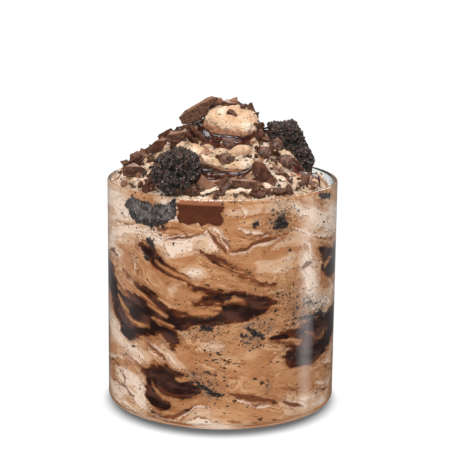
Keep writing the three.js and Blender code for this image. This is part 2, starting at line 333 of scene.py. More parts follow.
def mesh_from_arrays(name, points, faces):
    """A mesh from points in millimetres and a list of face arrays, by foreach_set."""
    mesh = bpy.data.meshes.new(name)
    sides = np.concatenate([np.full(len(part), part.shape[1]) for part in faces])
    corners = np.concatenate([part.ravel() for part in faces])
    mesh.vertices.add(len(points))
    mesh.vertices.foreach_set("co", (np.asarray(points) * MM).astype(np.float32).ravel())
    mesh.loops.add(len(corners))
    mesh.loops.foreach_set("vertex_index", corners.astype(np.int32))
    mesh.polygons.add(len(sides))
    mesh.polygons.foreach_set("loop_start", np.concatenate([[0], np.cumsum(sides)[:-1]]).astype(np.int32))
    mesh.polygons.foreach_set("use_smooth", np.ones(len(sides), bool))
    mesh.update(calc_edges=True)
    return mesh


def read_array(items, what, width=3, kind=float):
    """One measure of all points or corners of a mesh: a row for each, with this many numbers."""
    values = np.zeros(width * len(items), kind)
    items.foreach_get(what, values)
    return values.reshape(-1, width)


def new_piece(name, points, faces, material, replaced=(), fields=None):
    """A piece that rides on the one body, with the numbers that its material reads at each point."""
    mesh = mesh_from_arrays(name, points, faces)
    for field, values in (fields or {}).items():
        mesh.attributes.new(field, "FLOAT", "POINT").data.foreach_set(
            "value", np.broadcast_to(values, len(points)).astype(np.float32))
    mesh.materials.append(material)
    piece = bpy.data.objects.new(name, mesh)
    bpy.context.scene.collection.objects.link(piece)
    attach(piece, "root")
    if replaced:
        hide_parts(*replaced)
    triangles = sum(len(part) * (part.shape[1] - 2) for part in faces)
    print(f"{name}: {triangles} triangles")
    return piece


# %% [markdown]
# ## The glass
# The tumbler is turned about its axis, so one profile carried round makes it: a foot that is hollowed a
# little underneath, a round heel, a straight wall and a rim rounded by the flame. It is one closed skin with
# real thickness, because only then does light bend in the wall as it does in the real one.

# %% Glass profile and piece
HEEL_RADIUS = 2.2
GLASS_COLUMNS = 480
INNER_RADIUS = GLASS_RADIUS - WALL
FOOT_RADIUS = 37.0
FOOT_HOLLOW = 0.35


def arc(centre, radius, start, end, steps):
    """Points of an arc in (distance from the axis, height), from start to end in degrees."""
    angle = np.radians(np.linspace(start, end, steps + 1))
    return np.stack([centre[0] + radius * np.cos(angle), centre[1] + radius * np.sin(angle)], -1)


def turned_rings(profile, columns):
    """Each profile point (r, z) carried round the axis: x = r sin a, y = -r cos a."""
    angle = full_turn(columns)
    r, z = profile[:, :1], profile[:, 1:]
    return np.stack([r * np.sin(angle), -r * np.cos(angle), z + 0 * angle], -1)


def glass_profile():
    """From the middle of the underside, out round the heel, up the wall, over the rim and down inside."""
    corner = HEEL_RADIUS - 1
    return np.concatenate([
        [(8, FOOT_HOLLOW), (20, FOOT_HOLLOW), (FOOT_RADIUS - 3, FOOT_HOLLOW), (FOOT_RADIUS, 0)],
        arc((GLASS_RADIUS - HEEL_RADIUS, HEEL_RADIUS), HEEL_RADIUS, -90, 0, 10),
        np.stack([np.full(12, GLASS_RADIUS), np.linspace(8, GLASS_HEIGHT - 4, 12)], -1),
        arc((GLASS_RADIUS - WALL / 2, GLASS_HEIGHT - WALL / 2), WALL / 2, 0, 180, 12),
        np.stack([np.full(12, INNER_RADIUS), np.linspace(GLASS_HEIGHT - 4, 8, 12)], -1),
        arc((INNER_RADIUS - corner, BASE + corner), corner, 0, -90, 6),
        [(20, BASE), (8, BASE)],
    ])


def glass_material():
    """Clear soda-lime glass with a trace of green and faint smudges. Lamps shine through it: for a shadow
    ray the glass is a clear film, as a solid glass would otherwise leave the ice cream in the dark."""
    material, paint = new_material("clear glass", (0.9, 0.95, 0.95, 0.3))
    smudge = paint.noise(paint.place((1, 1, 0.5)), 14, detail=3)
    shine = paint.band(smudge, 0.45, 0.8, 0.0, 0.035)
    wave = paint.noise(paint.place((1, 1, 0.3)), 26, detail=1)
    glass = paint.add("ShaderNodeBsdfPrincipled", {
        "Base Color": paint.blend(smudge, colour(252, 254, 253), colour(248, 251, 250)),
        "Roughness": shine, "IOR": 1.5, "Transmission Weight": 1.0,
        "Normal": paint.bump(wave, 0.25)})
    film = paint.add("ShaderNodeBsdfTransparent", {"Color": (0.93, 0.94, 0.935, 1)})
    lamp = paint.add("ShaderNodeLightPath").outputs["Is Shadow Ray"]
    mixed = paint.add("ShaderNodeMixShader", {0: lamp, 1: glass.outputs[0], 2: film.outputs[0]})
    finish_surface(paint, mixed.outputs[0])
    return material


profile = glass_profile()
new_piece(
    "tumbler", ring_points(turned_rings(profile, GLASS_COLUMNS), (0, 0, FOOT_HOLLOW), (0, 0, BASE)),
    ring_faces(len(profile), GLASS_COLUMNS), glass_material(), ["glass"])

# %% [markdown]
# ## The heap's surface
# The ice cream was spooned in with a turning hand, so the heap is a blunt cone wrapped in one rising rope,
# with a scoop on top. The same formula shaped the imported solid, so every topping lies where it should. Here
# it gets what the solid lacks: torn ridges along the rope, lumps from cookie bits below, and small pits.

# %% Heap height
WALL_LEVEL = GLASS_HEIGHT - 0.8
PEAK = 25.1
CONE_POWER = 1.15
BLUNT = 4.0
FOLD_PITCH = 15.0
FOLD_HEIGHT = 2.4
SCOOP_MIDDLE = (2.0, -2.0)
SCOOP_RADIUS = 12.0
SCOOP_SUNK = 2.6
DIP_AZIMUTH = np.radians(118)
DIP_SPREAD = 0.52
DIP_DEPTH = 8.6
RIM_BLEND = 5.0


def rope_turns(x, y):
    """How many turns of the rope lie inside a point: its distance in rope widths, less its part of a turn."""
    return (np.hypot(x, y) - FOLD_PITCH) / FOLD_PITCH - np.arctan2(x, -y) / (2 * np.pi)


def heap_relief(x, y):
    """The fine unevenness: ridges torn along the rope, knobs where bits lie below, and small pits."""
    flat = np.stack([x, y, 0 * x], -1)
    along_rope = np.stack([rope_turns(x, y) * 9, np.arctan2(x, -y) * np.hypot(x, y) / 9, 0 * x], -1)
    torn = 0.55 * gradient_noise(along_rope, 5) + 0.3 * gradient_noise(2.3 * along_rope, 6)
    knobs = 0.8 * gradient_noise(flat / 4.4, 7) + 0.45 * gradient_noise(flat / 2, 8)
    pits = 0.22 * gradient_noise(flat / 0.9, 9)
    return torn + knobs + pits


def smooth_height(x, y):
    """A blunt cone, plus the half-round section of the rope, plus slow lumps, less the dip at the wall.
    Under the scoop the cone is sunk, because the scoop is a piece of its own."""
    r = np.hypot(x, y)
    slope = np.hypot(r, BLUNT) - BLUNT
    slope_end = np.hypot(FILL_RADIUS, BLUNT) - BLUNT
    cone = PEAK * np.clip(1 - slope / slope_end, 0, None) ** CONE_POWER
    turns = rope_turns(x, y)
    across = 2 * (turns - np.floor(turns)) - 1
    rope = FOLD_HEIGHT * np.sqrt(np.clip(1 - across ** 2, 0, None))
    from_scoop = np.hypot(x - SCOOP_MIDDLE[0], y - SCOOP_MIDDLE[1])
    on_top = 1 - smooth_step(from_scoop, 0.6 * SCOOP_RADIUS, 1.05 * SCOOP_RADIUS)
    clear = smooth_step(FILL_RADIUS - r, 0, RIM_BLEND)
    lump = 0.7 * np.sin(0.31 * x + 0.17 * y + 0.8) * np.cos(-0.12 * x + 0.27 * y + 2) * clear
    away = np.arctan2(x, -y) - DIP_AZIMUTH
    turned_by = np.arctan2(np.sin(away), np.cos(away)) / DIP_SPREAD
    dip = DIP_DEPTH * np.exp(-turned_by ** 2) * smooth_step(r, 24, 32)
    return WALL_LEVEL + cone + (1 - on_top) * rope * clear - on_top * SCOOP_SUNK + lump - dip


def heap_height(x, y):
    """The smooth height plus the fine unevenness, which fades at the wall."""
    return smooth_height(x, y) + heap_relief(x, y) * smooth_step(FILL_RADIUS - np.hypot(x, y), 0, 2.5)


print(f"heap {float(heap_height(np.array([0.0]), np.array([-20.0]))[0]):.1f} mm high at 20 mm from the axis")

# %% [markdown]
# ## Strokes
# Marbling looks wild but it is only a few gestures: sauce poured down the glass and dragged round by the
# spoon. So it is drawn as strokes with a middle line and a half-width at each point, on the wall
# unrolled flat: along it goes from left to right in millimetres, with 0 at the front, and up it goes the
# height. From each stroke every point of the surface gets its distance, less than 0 inside. A distance can be
# frayed, banded and streaked by the material, far finer than any mesh.

# %% Distance to a stroke
STROKE_CUTS = 6
FAR_MM = 11.0


def points_of(text):
    """Points listed as text: a comma divides them, and a point's numbers stand side by side."""
    return [tuple(map(float, point.split())) for point in text.split(",")]


def strokes_of(text):
    """Strokes listed as text, each point as along, up and half-width in mm. A semicolon ends a stroke, and
    a row that starts with # is a remark."""
    kept = " ".join(row for row in text.splitlines() if not row.strip().startswith("#"))
    return [points_of(stroke) for stroke in kept.split(";") if stroke.strip()]


def paths_of(text):
    """Strokes with a name and a colon before each."""
    return {name.strip(): points_of(stroke) for name, stroke in (part.split(":") for part in text.split(";"))}


def smooth_line(points, cuts=STROKE_CUTS):
    """A curve through all the points (Catmull-Rom): each stretch is a cubic whose slope at a point is half
    the way from the point before to the point after."""
    knots = np.array(points, float)
    knots = np.concatenate([[2 * knots[0] - knots[1]], knots, [2 * knots[-1] - knots[-2]]])
    t = np.linspace(0, 1, cuts, endpoint=False)[:, None]
    before, here, after, beyond = (knots[i:len(knots) - 3 + i, None] for i in range(4))
    curve = 0.5 * (2 * here + (after - before) * t + (2 * before - 5 * here + 4 * after - beyond) * t ** 2
                   + (3 * here - before - 3 * after + beyond) * t ** 3)
    return np.concatenate([curve.reshape(-1, knots.shape[1]), knots[-2:-1]])


def beside_line(first, second, line, reach):
    """Which points lie within reach of a line of (first, second, width), the way to each of these from the
    nearest place on every short run of the line, the runs themselves, and the widths at those places."""
    near = ((first > line[:, 0].min() - reach) & (first < line[:, 0].max() + reach)
            & (second > line[:, 1].min() - reach) & (second < line[:, 1].max() + reach))
    point = np.stack([first[near], second[near]], -1)[:, None]
    start, run = line[:-1, :2], np.diff(line[:, :2], axis=0)
    share = np.clip(((point - start) * run).sum(-1) / (run ** 2).sum(-1), 0, 1)
    width = line[:-1, 2] + share * np.diff(line[:, 2])
    return near, point - start - share[..., None] * run, run, width


def stroke_distance(first, second, stroke):
    """How far each point lies outside a stroke of (first, second, half-width), in mm: the distance to the
    nearest of the short straight runs of its middle line, less the half-width there."""
    line = smooth_line(stroke)
    near, away, _, width = beside_line(first, second, line, line[:, 2].max() + FAR_MM)
    distance = np.full(first.shape, FAR_MM)
    distance[near] = np.minimum((np.linalg.norm(away, axis=-1) - width).min(1), FAR_MM)
    return distance


def nearest_stroke(first, second, strokes, round_mm=None):
    """The least distance to any of the strokes, which wrap over the seam of a wall of this length round."""
    shifts = (0,) if round_mm is None else (-round_mm, 0, round_mm)
    distance = np.full(first.shape, FAR_MM)
    for stroke, shift in itertools.product(strokes, shifts):
        distance = np.minimum(distance, stroke_distance(first + shift, second, stroke))
    return distance


# %% Distance to a crest
def crest_height(first, second, crest):
    """A fold's edge, pressed on the glass: 1 just left of the line as it was drawn, falling to 0 over the
    width there, and -1 just right of it, back to 0 over a third of that width. The marble paints a
    highlight where this is above 0 and shade where it is below."""
    line = smooth_line(crest)
    near, away, run, width = beside_line(first, second, line, line[:, 2].max())
    apart = np.linalg.norm(away, axis=-1)
    side = run[:, 0] * away[..., 1] - run[:, 1] * away[..., 0]
    nearest = apart.argmin(1)[:, None]
    apart, side, width = (np.take_along_axis(all_runs, nearest, 1)[:, 0] for all_runs in (apart, side, width))
    height = np.zeros(first.shape)
    height[near] = np.where(side > 0, np.clip(1 - apart / width, 0, 1), -np.clip(1 - 3 * apart / width, 0, 1))
    return height


def highest_crest(first, second, crests, round_mm):
    """Of all crests, the one that stands out most at each point, wrapped over the wall's seam."""
    height = np.zeros(first.shape)
    for crest, shift in itertools.product(crests, (-round_mm, 0, round_mm)):
        here = crest_height(first + shift, second, crest)
        height = np.where(np.abs(here) > np.abs(height), here, height)
    return height


# %% [markdown]
# ## What is drawn on the wall
# The left half has the largest gesture, a ribbon of fudge that sweeps down from the rim's left and turns
# up again across the front. A pool lies under it, a blob hangs at the right, and thin brushed lines run
# below. Pale vanilla shows where the ice cream was not blended. The back was made by the same hand, so it has
# strokes of its own in the same manner, and those that reach the edge of the view run on round it.

# %% Strokes seen from the front
FUDGE = strokes_of("""
    # the large ribbon, from the left edge down to the middle, and its upper lip
    -74 60 3, -66 55 5, -60 51 6, -55 49.5 6, -50 45.8 5.8, -45 41.8 6.6, -40 39.4 7.6, -36 38.4 7.8,
    -32 39 7.2, -28 38.8 6, -24 38.3 4.6, -20 38 3.2; -42 31.5 1.6, -38 30.8 2, -35 31.6 1.4;
    -34 50.5 0.8, -30 48.6 1.8, -26 46.8 2.2, -22 44.6 2, -18 42.5 1.6, -13 42.6 1; -41 54.2 0.15,
    -35 51.6 0.3, -30 49.6 0.4, -25 47.4 0.2;
    # its lobe, and the sweep up to the right
    -21.5 38 2.4, -19.5 35 2.9, -18 32.5 2.7, -17.4 30.4 1.4; -20 38.5 3, -15 39.6 2.4, -10 41 2.2,
    -5 42 2.4, 0 42.8 3.2, 5 44 3.6, 9 45.2 3.2, 13 46 2.7, 16.5 46.2 2, 19.8 46.6 0.6; -10 47.4 0.6,
    -4 48.6 1.6, 2 49.4 2, 7 49.2 2, 12 48.4 1.6, 17 47.6 0.6;
    # strands that come down from the upper left and the top, towards the sweep
    -31.5 66 0.6, -28.5 63.8 1.6, -25.6 62.2 2.8, -22 60 2.4, -18 57.2 1.8, -12 54 1.2, -5 51.6 1.2,
    2 50.4 0.9; -7 65.8 0.5, -2.5 63.4 1.3, 3 60.4 1.7, 9 57 1.4, 14 54.4 0.9, 19 53 0.3;
    # the pool at the lower left
    -29.8 19 0.8, -26 17.8 2.8, -22.5 16.8 5, -19 16.2 5.6, -15 15 4.4, -11 14.4 2.8, -7.6 14.5 1.1;
    -20.5 22.8 0.9, -19 20 1.9, -17 20.6 1, -12.5 20.5 0.2; -26.6 15.6 2.2, -25.6 12.4 3.3, -24 9.4 3.2,
    -21.6 8.4 2.2, -19 8.2 1;
    # the blob at the right edge
    19 33.4 0.6, 22.5 33.6 1.7, 26 34 1.9, 30 33.6 2.2, 34 32 3.6, 38 30.4 6, 43 29.8 7, 48 30.6 6.8,
    53 32 5.8, 58 33 4.8, 64 34 3.4, 70 36 1.6; 22.8 25.6 0.9, 25.6 25 2.7, 29 24.8 4.4, 33 25.4 5.4,
    37 26 6, 41 26.8 6, 46 28 5; 20.6 30.6 0.3, 24 30.6 0.8, 29 29 1.4, 34 28 2;
    # the red-brown piece above it
    41 62.4 0.6, 45 60.6 2.6, 49 58 4, 53 57 4.8, 58 57 4.6, 63 58 3.4, 68 60 1.4; 43 55 0.7, 47 53.4 1.4,
    52 52 1.6, 57 52 1;
""")
AMBER = strokes_of("""
    -46 44 0.1, -42 41.4 0.5, -39 38.6 1.1, -36 36.6 0.9, -32 36 0.4, -28 35.8 0.1; -46 47.4 0.1,
    -42 46 0.5, -38.6 45.4 0.2; -44 43.4 0.1, -43 41.4 0.4, -41.4 39 0.1; -41 49.6 0.1, -34 48.4 0.4,
    -28 45.4 0.45, -23 42.6 0.4, -19.6 41 0.1; -26 39.4 0.2, -22 38.4 0.4, -18 37.4 0.3; -11 43 0.4,
    -7 43.6 1.3, -3.6 43.8 1.3, -1 45 0.6; 2 48 0.1, 5 49 0.7, 8 48 0.3; -16 19 0.1, -13.6 18.6 0.8,
    -11.6 18.6 0.5; -26 15 0.15, -24 12.2 0.4, -21 10.2 0.2; 33 33.4 0.1, 37 31.6 0.35, 40 29.6 0.3,
    46 30.4 0.25; 45 55.4 0.4, 49 57.6 0.7, 52 58.4 0.3; -24 60.6 0.1, -19 57.8 0.4, -12 54.6 0.3;
    0 62 0.2, 6 58.8 0.5, 12 55.4 0.2;
""")
BRUSHED = strokes_of("""
    3 13.8 0.2, 6 12.9 0.7, 10 12.3 1.1, 14 11.1 0.8, 20 9.3 0.2; 8 10 0.1, 12 9.2 0.35, 16 8.9 0.1;
    24 9.6 0.1, 26.5 7 0.4, 30 5.8 0.5, 33.5 4.4 0.1; -17.5 3 0.2, -13 6.4 0.6, -8 9.2 0.15; 3 66.4 0.2,
    8 67 0.5, 13 69 0.7, 17 69.7 1, 21 69.8 0.3; 8 70 0.1, 14 71.2 0.25, 18.4 72.2 0.1; -5 74.4 0.1,
    -3.4 71.6 0.5, -1.4 69 0.6, 0.4 67 0.5, 2 65.4 0.2; -1 72 0.05, 1.4 69.8 0.3, 3.4 67 0.1; -21 69 0.05,
    -15 70.1 0.25, -8 71.4 0.2, -4 73 0.05; -56 58 0.2, -50 59.4 0.6, -46 58.6 0.1; -56 16 0.2,
    -50 17.6 0.5, -45 16.6 0.1; -42 22.4 0.1, -36 21.6 0.3, -31 19.8 0.4, -28 19.4 0.2; -50 12 0.1,
    -45 9.6 0.4, -40 9.8 0.4, -35 7.4 0.2; -44 15.4 0.1, -41 12.6 0.5, -41.5 9.6 0.2; -28 5 0.1,
    -22 3.4 0.4, -16 4.6 0.1; 31.5 57.6 0.3, 34 58.2 0.9, 36.4 58.4 0.2; -27 76 0.1, -22 72.6 0.4,
    -17 73.4 0.3, -12 71.4 0.1; -30 31.4 0.1, -25 28.4 0.3, -21 24.6 0.2; 44 20.4 0.1, 48 16.4 0.4,
    54 13.6 0.2; -36 61 0.05, -33 57.6 0.2, -33.4 54 0.05; 22 14.6 0.05, 27 12.8 0.2, 33 12.2 0.05;
    40 10 0.05, 46 7.6 0.3, 52 8 0.05;
""")
VANILLA = strokes_of("""
    -60 78 4, -50 79 5, -42 78 4, -36 76 2; -54 64.6 0.8, -48 66.6 1.6, -40 68.6 1.5, -31 70.8 0.6;
    -21 63 1, -17 65.4 2.6, -12 67.6 2.2; -5.6 66 0.8, -4.6 68.6 1.6, -2.6 71 0.6; -58 34 2, -52 30 3.4,
    -45 27.6 3.8, -38 25.6 3, -31 22.6 1.6; -20.4 27.8 -0.2, -18.4 25.2 0.5, -15.8 22.8 -0.2; -6 31 -1.4,
    -4 31.4 -0.8, -1 31.4 -1.4; -56 8 2, -48 6.6 3.4, -40 12 4, -33 13 3.4, -32 6 2.2; -11 1.6 0.2,
    -5 2.6 0.9, 2 1.4 0.2, 9 1 -0.6; 33 60 1.4, 36.4 53 2.8, 38 46 3, 43 43 3, 50 42.6 2.4, 58 44 1.4;
    36 76 2, 44 73 4, 54 71 5, 64 70 3; -57 61 2, -50 61.4 2.4, -44 58.6 1; -18 51 -0.6, -11 57.6 0.2,
    -7 60.6 0.4; 14 60.4 -0.8, 20 59 0, 25 61.6 -0.4;
    # washes: wide, soft and never quite white
    16 80 -1.4, 22 82 -0.8, 29 80 -0.4, 34 76 0; 20 67 -1.2, 26 69 -0.4, 32 68 0; 28 10 -1, 36 8 -0.4,
    45 9 0, 56 11 0; 26 3 -0.6, 36 2.6 0, 48 3.4 0.4; -50 3 0.4, -40 2.4 0.8, -30 1.6 0.4; 3 80 -1.6,
    12 80 -1.2; -58 70 0.6, -50 71.6 0.8, -42 73.6 0.4; 46 18 -0.8, 54 20 -0.2, 62 22 0;
    # white cream in the cookie's notch
    -21.8 84 0.4, -19.4 82.8 1.1, -17.2 84 0.5; -30 71 0.8, -26 70.6 1.6, -21 68.6 0.8;
""")
COOKIE = strokes_of("""
    # frayed edges of the cookie that is pressed against the wall
    -39.4 78.8 0.8, -36 79.6 1.8, -31 79.8 2.2, -27 80.4 1.4; -36 76.4 1.6, -31 75.4 2.4, -26 75.4 2.2,
    -21 76.8 2.2, -17.4 79.4 1.6; -20 80 1.2, -17.4 81.6 1, -16.4 83.4 0.8; -26.4 73.6 1, -25 72.4 0.4;
    -21.4 74.4 0.9, -20.4 73 0.3; -27.8 67.4 0.9, -26.6 66.8 1.5, -25.6 65.4 0.8; -29.8 61.8 0.4,
    -28.6 61.2 0.9; 18.6 74.4 0.6, 20.6 75 2, 22.6 74.4 1.4; 20.4 77.6 0.8, 21.6 77 1; 9.4 37.6 0.7,
    12 35.8 0.9, 15 33.6 0.5; -7.6 38.4 0.5, -5 38 0.9, -2.4 38.6 0.4; -9.6 18.4 0.3, -7.4 16.6 0.7,
    -3 14.2 0.8, 0.6 13 0.3; 11 75.4 0.3, 12.6 75.8 0.7; 33.6 43.4 0.4, 35 43.6 0.8; 30 39.6 0.3,
    33.4 38.6 1, 37 38 1.1, 41 38.6 1, 45 38 0.5; -1.4 28.6 0.7, 0 27.6 0.4; 40 83 1, 44 81.6 1.6,
    48 80.4 0.8;
""")
# folds under the rim: a highlight painted left of the way each line is drawn, shade painted right
CRESTS = strokes_of("""
    # folds under the rim, lit on the left of the way each line is drawn
    -11.5 70.9 1, -14 71 3, -17.5 70.4 3.6, -20.5 69.8 2; -4.6 74.2 1.5, -6.6 72.4 3.6, -9.2 71.2 3.4,
    -11.6 70.2 1.2; -21.4 69 1, -20.6 66.4 3.4, -18.8 63.6 3, -17 62 1; -0.8 65.4 1, -2 68 3.6,
    -3.8 71 3.4, -4.8 74 1; -3.4 74.4 1, -0.8 71 3, 0.8 68.4 3, 1.8 66 1; 20.8 70 1, 17 69.2 2.4,
    12 68.4 2.6, 8 66.8 2.2, 3.6 66 1; 5 74.2 0.6, 9 72.4 2, 13.4 71.4 2, 17.6 70.8 0.6; -26.4 74.4 0.8,
    -26 72 2, -24 70.6 2.2, -21.4 70.6 0.8; -6.6 75 0.8, -10 77.2 2.6, -15 77.8 2.6, -19.4 76 0.8;
    -30 74.4 0.8, -36 72.4 3, -42 71.4 3, -48 70.8 1; -29.6 62 0.8, -31 65.4 2.6, -31.4 69 0.8;
    -37 62 0.5, -34.8 58.6 2, -34.8 54.6 0.5; -58 58 0.8, -53 59 3, -48 60.8 1; 31 66.6 0.6, 33.8 65.4 2,
    34.4 62 2, 33.4 59.4 0.6; 34 69.6 1, 41 67 3, 48 66 3, 56 66 1; 62 42 1, 56 46 3, 50 49.6 1;
    26 73 0.6, 32 70.4 2.6, 37 66.6 0.8; 6 82.4 0.6, 8 79.6 2, 8.4 77.4 0.6;
    # folds in the lower half
    -31 31.2 0.6, -26 28.8 2.4, -20.6 25.8 0.8; -20.6 24.2 0.6, -25 26.8 2.4, -30 29.4 0.6; -60 16.4 1,
    -54 17.4 3, -47 19.6 2.4, -41 20.4 1; -37.4 23 0.6, -34 22 2.4, -30.6 19.4 1; -40 10.8 1, -45 9.4 3,
    -51 6.6 1; -40.6 10 0.8, -37 7.4 3, -33 5 2.6, -28 3.6 0.8; -48 2.4 0.8, -41 3.6 2, -34 1.6 0.8;
    -15 2.6 0.6, -20 3.2 2, -26 5 2, -29 6.6 0.6; -15 2.6 0.8, -11.6 5.6 2.6, -8 7.8 2, -4 8.2 0.6;
    3 1.6 0.8, -2 3 2.4, -6 4.4 3, -10 3.2 2.6, -14 1 0.8; 4.6 14 0.6, 7 10.8 1.8, 11 8.8 2, 15 7.8 1.8,
    20.6 7.4 0.5; 24 9.6 0.6, 27 6.8 2.6, 32 5.2 2, 36 4.2 0.6; 44 19.6 0.6, 49 17.6 2.6, 56 15.6 1;
    40 12 0.5, 46 9.6 2.4, 54 9 0.8;
""")
CRUMB_SPOTS = points_of("""
    21 75 4.5 1.0, 12 76 2 0.8, 11.5 36 4.5 1.0, 17 38 3 0.6, -5 39 5 0.8, -9 18 4 0.9, -3 14.6 4 0.9,
    31 39 5 0.9, 35 43 4 0.8, 43 40 6 0.7, 26 49 8 0.55, 0 28 7 0.32, 5 32 14 0.16, 20 81.6 7 0.5,
    0 79 6 0.25, 25 28.6 3 0.7, -27 66 3 0.8, -20 13 12 0.12, 17 15.4 2.5 0.6, -13 35 4 0.5,
    -38 29.6 6 0.35, 33 20 5 0.3, -30 79 9 0.5, 8 55 16 0.12, 47 66 9 0.3
""")
print(f"{len(FUDGE)} fudge strokes, {len(AMBER)} amber, {len(BRUSHED)} brushed, {len(VANILLA)} vanilla")

# %% Strokes at the back
FUDGE += strokes_of("""
    # a broad ribbon that hangs from the upper right
    92 72 1, 97 66 4, 103 60 6.4, 110 55.6 7, 117 54.6 5.6, 124 57.6 3, 129 61 1; 100 50 1.4, 106 47 3,
    112 46.4 2.4, 117 48.6 0.8; 78 47 1, 84 42.6 3.4, 91 39.6 4.6, 98 40 3.6, 104 43 1.4;
    # a pool low down, and its tongue
    104 27 1.4, 110 24 4.6, 117 22.6 6.4, 124 22.6 5.4, 130 25 2.8, 134 28 0.8; 118 17 3, 121 11.6 3.4,
    126 8.4 1.6;
    # the second ribbon, that sweeps up to the seam
    131 71 1, 137 68.6 3.2, 144 65.6 4.4, 149 60 3.8, 153 55 2; 140 43 1, 147 38 4.2, 155 35.6 6.2,
    163 36.6 7, 170 40.6 6, 176 45.6 4.6, 183 50.6 3.6, 188 55 1.6; 160 19 1, 168 16 4, 176 17.6 5.4,
    183 21.6 3.8, 189 26 1.2; 166 62 0.8, 172 60 2.6, 178 61.6 3, 184 66 1; 80 17 0.8, 86 13.6 3.4,
    93 13 4.2, 99 10 1.6;
""")
AMBER += strokes_of("""
    96 66.6 0.2, 104 60.4 0.7, 113 57.4 0.4; 86 43 0.2, 97 42.6 0.7, 108 45.6 0.3; 113 27 0.3,
    121 23.6 0.8, 129 24.6 0.3; 138 69 0.2, 147 61.6 0.6, 157 52.4 0.2; 150 38 0.2, 162 37.6 0.9,
    176 45.6 0.4; 168 18 0.2, 178 20.2 0.6;
""")
BRUSHED += strokes_of("""
    70 26 0.1, 78 29.6 0.6, 88 29 0.8, 96 25 0.2; 72 70 0.1, 80 73 0.5, 88 78 0.2; 116 74 0.1,
    124 76.6 0.7, 134 78.6 0.2; 112 38 0.1, 122 36 0.6, 134 38 0.1; 136 13 0.1, 146 9.6 0.9, 158 10 0.3;
    140 29 0.1, 150 27 0.5, 160 29.6 0.1; 170 64 0.1, 177 68 0.7, 186 69.6 0.2; 104 6 0.1, 114 4.6 0.6,
    124 6 0.1;
""")
VANILLA += strokes_of("""
    68 50 1.6, 76 56.6 3.6, 84 60 3, 90 58.6 1; 70 12 1.6, 76 22 2.4, 88 22 1.2; 98 76 1.4, 107 72.6 3.6,
    118 68.6 2.6; 92 33.6 1, 100 31.6 2, 106 27 1; 122 48 1.4, 131 47 3.6, 140 50 2; 138 20 1, 146 18 3,
    154 22 1.4; 160 62 1.2, 168 58.6 3, 176 60 1.8; 165 76 2, 176 77 4, 188 75 3; 176 32 1.4, 186 34 3,
    194 33 2; 176 7 1.4, 188 8.6 3, 198 9.6 2.4;
""")
COOKIE += strokes_of("""
    99 79 1.4, 103 80 2.8, 109 79.6 2.2, 114 81 1; 127 41.6 0.4, 130 40 1.1; 155 71 0.6, 158 70 1.6,
    161 71.6 0.8; 86 51 0.4, 89 49.6 1; 141 31.6 0.4, 144 33 0.9; 110 16.6 0.5, 113 15.6 1.1; 181 63 0.5,
    184 62 1.2;
""")
CRESTS += strokes_of("""
    66 62 1, 74 64.6 3, 82 63.6 2.6, 88 60 0.8; 96 74 0.8, 104 76.6 3, 113 74.6 1; 70 40 0.8, 77 36.4 2.6,
    86 35 0.8; 90 36.6 0.8, 97 34.4 3, 104 29.6 1; 136 54 0.8, 129 51.6 3, 121 51 1; 119 66 0.8,
    126 64.4 3, 132 60 1; 150 24 0.8, 143 22.6 3, 137 18.6 1; 152 14.6 0.6, 158 12.4 2.4, 166 11.6 0.8;
    178 62 0.8, 170 62.6 3, 162 66 1; 150 78.6 0.8, 156 75 2.8, 164 73.6 1; 196 36 1, 188 31.6 3,
    180 30.6 1; 72 12 0.8, 78 8.6 2.6, 87 7.6 1; 104 16 0.6, 108 11.6 2.2, 116 9.4 0.6; 84 52.6 0.8,
    91 51.6 2.6, 98 48.6 0.8; 170 3.4 0.8, 177 5.6 2.4, 186 5 0.8; 124 32.6 0.6, 131 31 2.4, 137 33.6 0.6;
""")
CRUMB_SPOTS += points_of("""
    84 50 8 0.6, 105 79 8 0.7, 128 41 7 0.7, 143 32 6 0.7, 158 70 6 0.8, 112 16 6 0.7, 76 36 10 0.3,
    96 20 9 0.3, 183 62 6 0.7, 150 78 9 0.3, 168 27 8 0.4, 120 64 8 0.3
""")
print(f"{len(FUDGE)} fudge strokes with the back's")

# %% [markdown]
# ## The ice cream's finish
# Blended ice cream is tan, clouded with paler vanilla and drawn out into thin caramel lines where the two
# have not quite mixed. Cookie dust peppers it. Those two effects, the marble and the dust, show on the wall
# and on the heap, so each is a node group. The lines run the way that the spoon went, because they lie where
# noise that was drawn out along the strokes crosses a level.

# %% Marble and dust groups
TAN = colour(181, 130, 90)
TAN_LIGHT = colour(204, 163, 125)
TAN_DEEP = colour(166, 114, 76)
PALE_SOFT = colour(210, 178, 150)
PALE = colour(228, 207, 190)
FROTH = colour(231, 201, 166)
RIDGE_HIGHLIGHT = colour(246, 226, 200)
CARAMEL_AND_CREST_SHADE = colour(132, 78, 44)
FUDGE_BLACK = colour(32, 12, 7)
FUDGE_DARK = colour(48, 25, 17)
FUDGE_MILKY = colour(84, 52, 42)
FUDGE_RED = colour(98, 48, 23)
AMBER_DEEP = colour(142, 84, 50)
AMBER_GLOW = colour(206, 144, 94)
BRUSH_AND_CREASE_SHADE_BROWN = colour(104, 58, 34)
COOKIE_BLACK = colour(34, 30, 30)
COOKIE_GREY = colour(112, 100, 92)


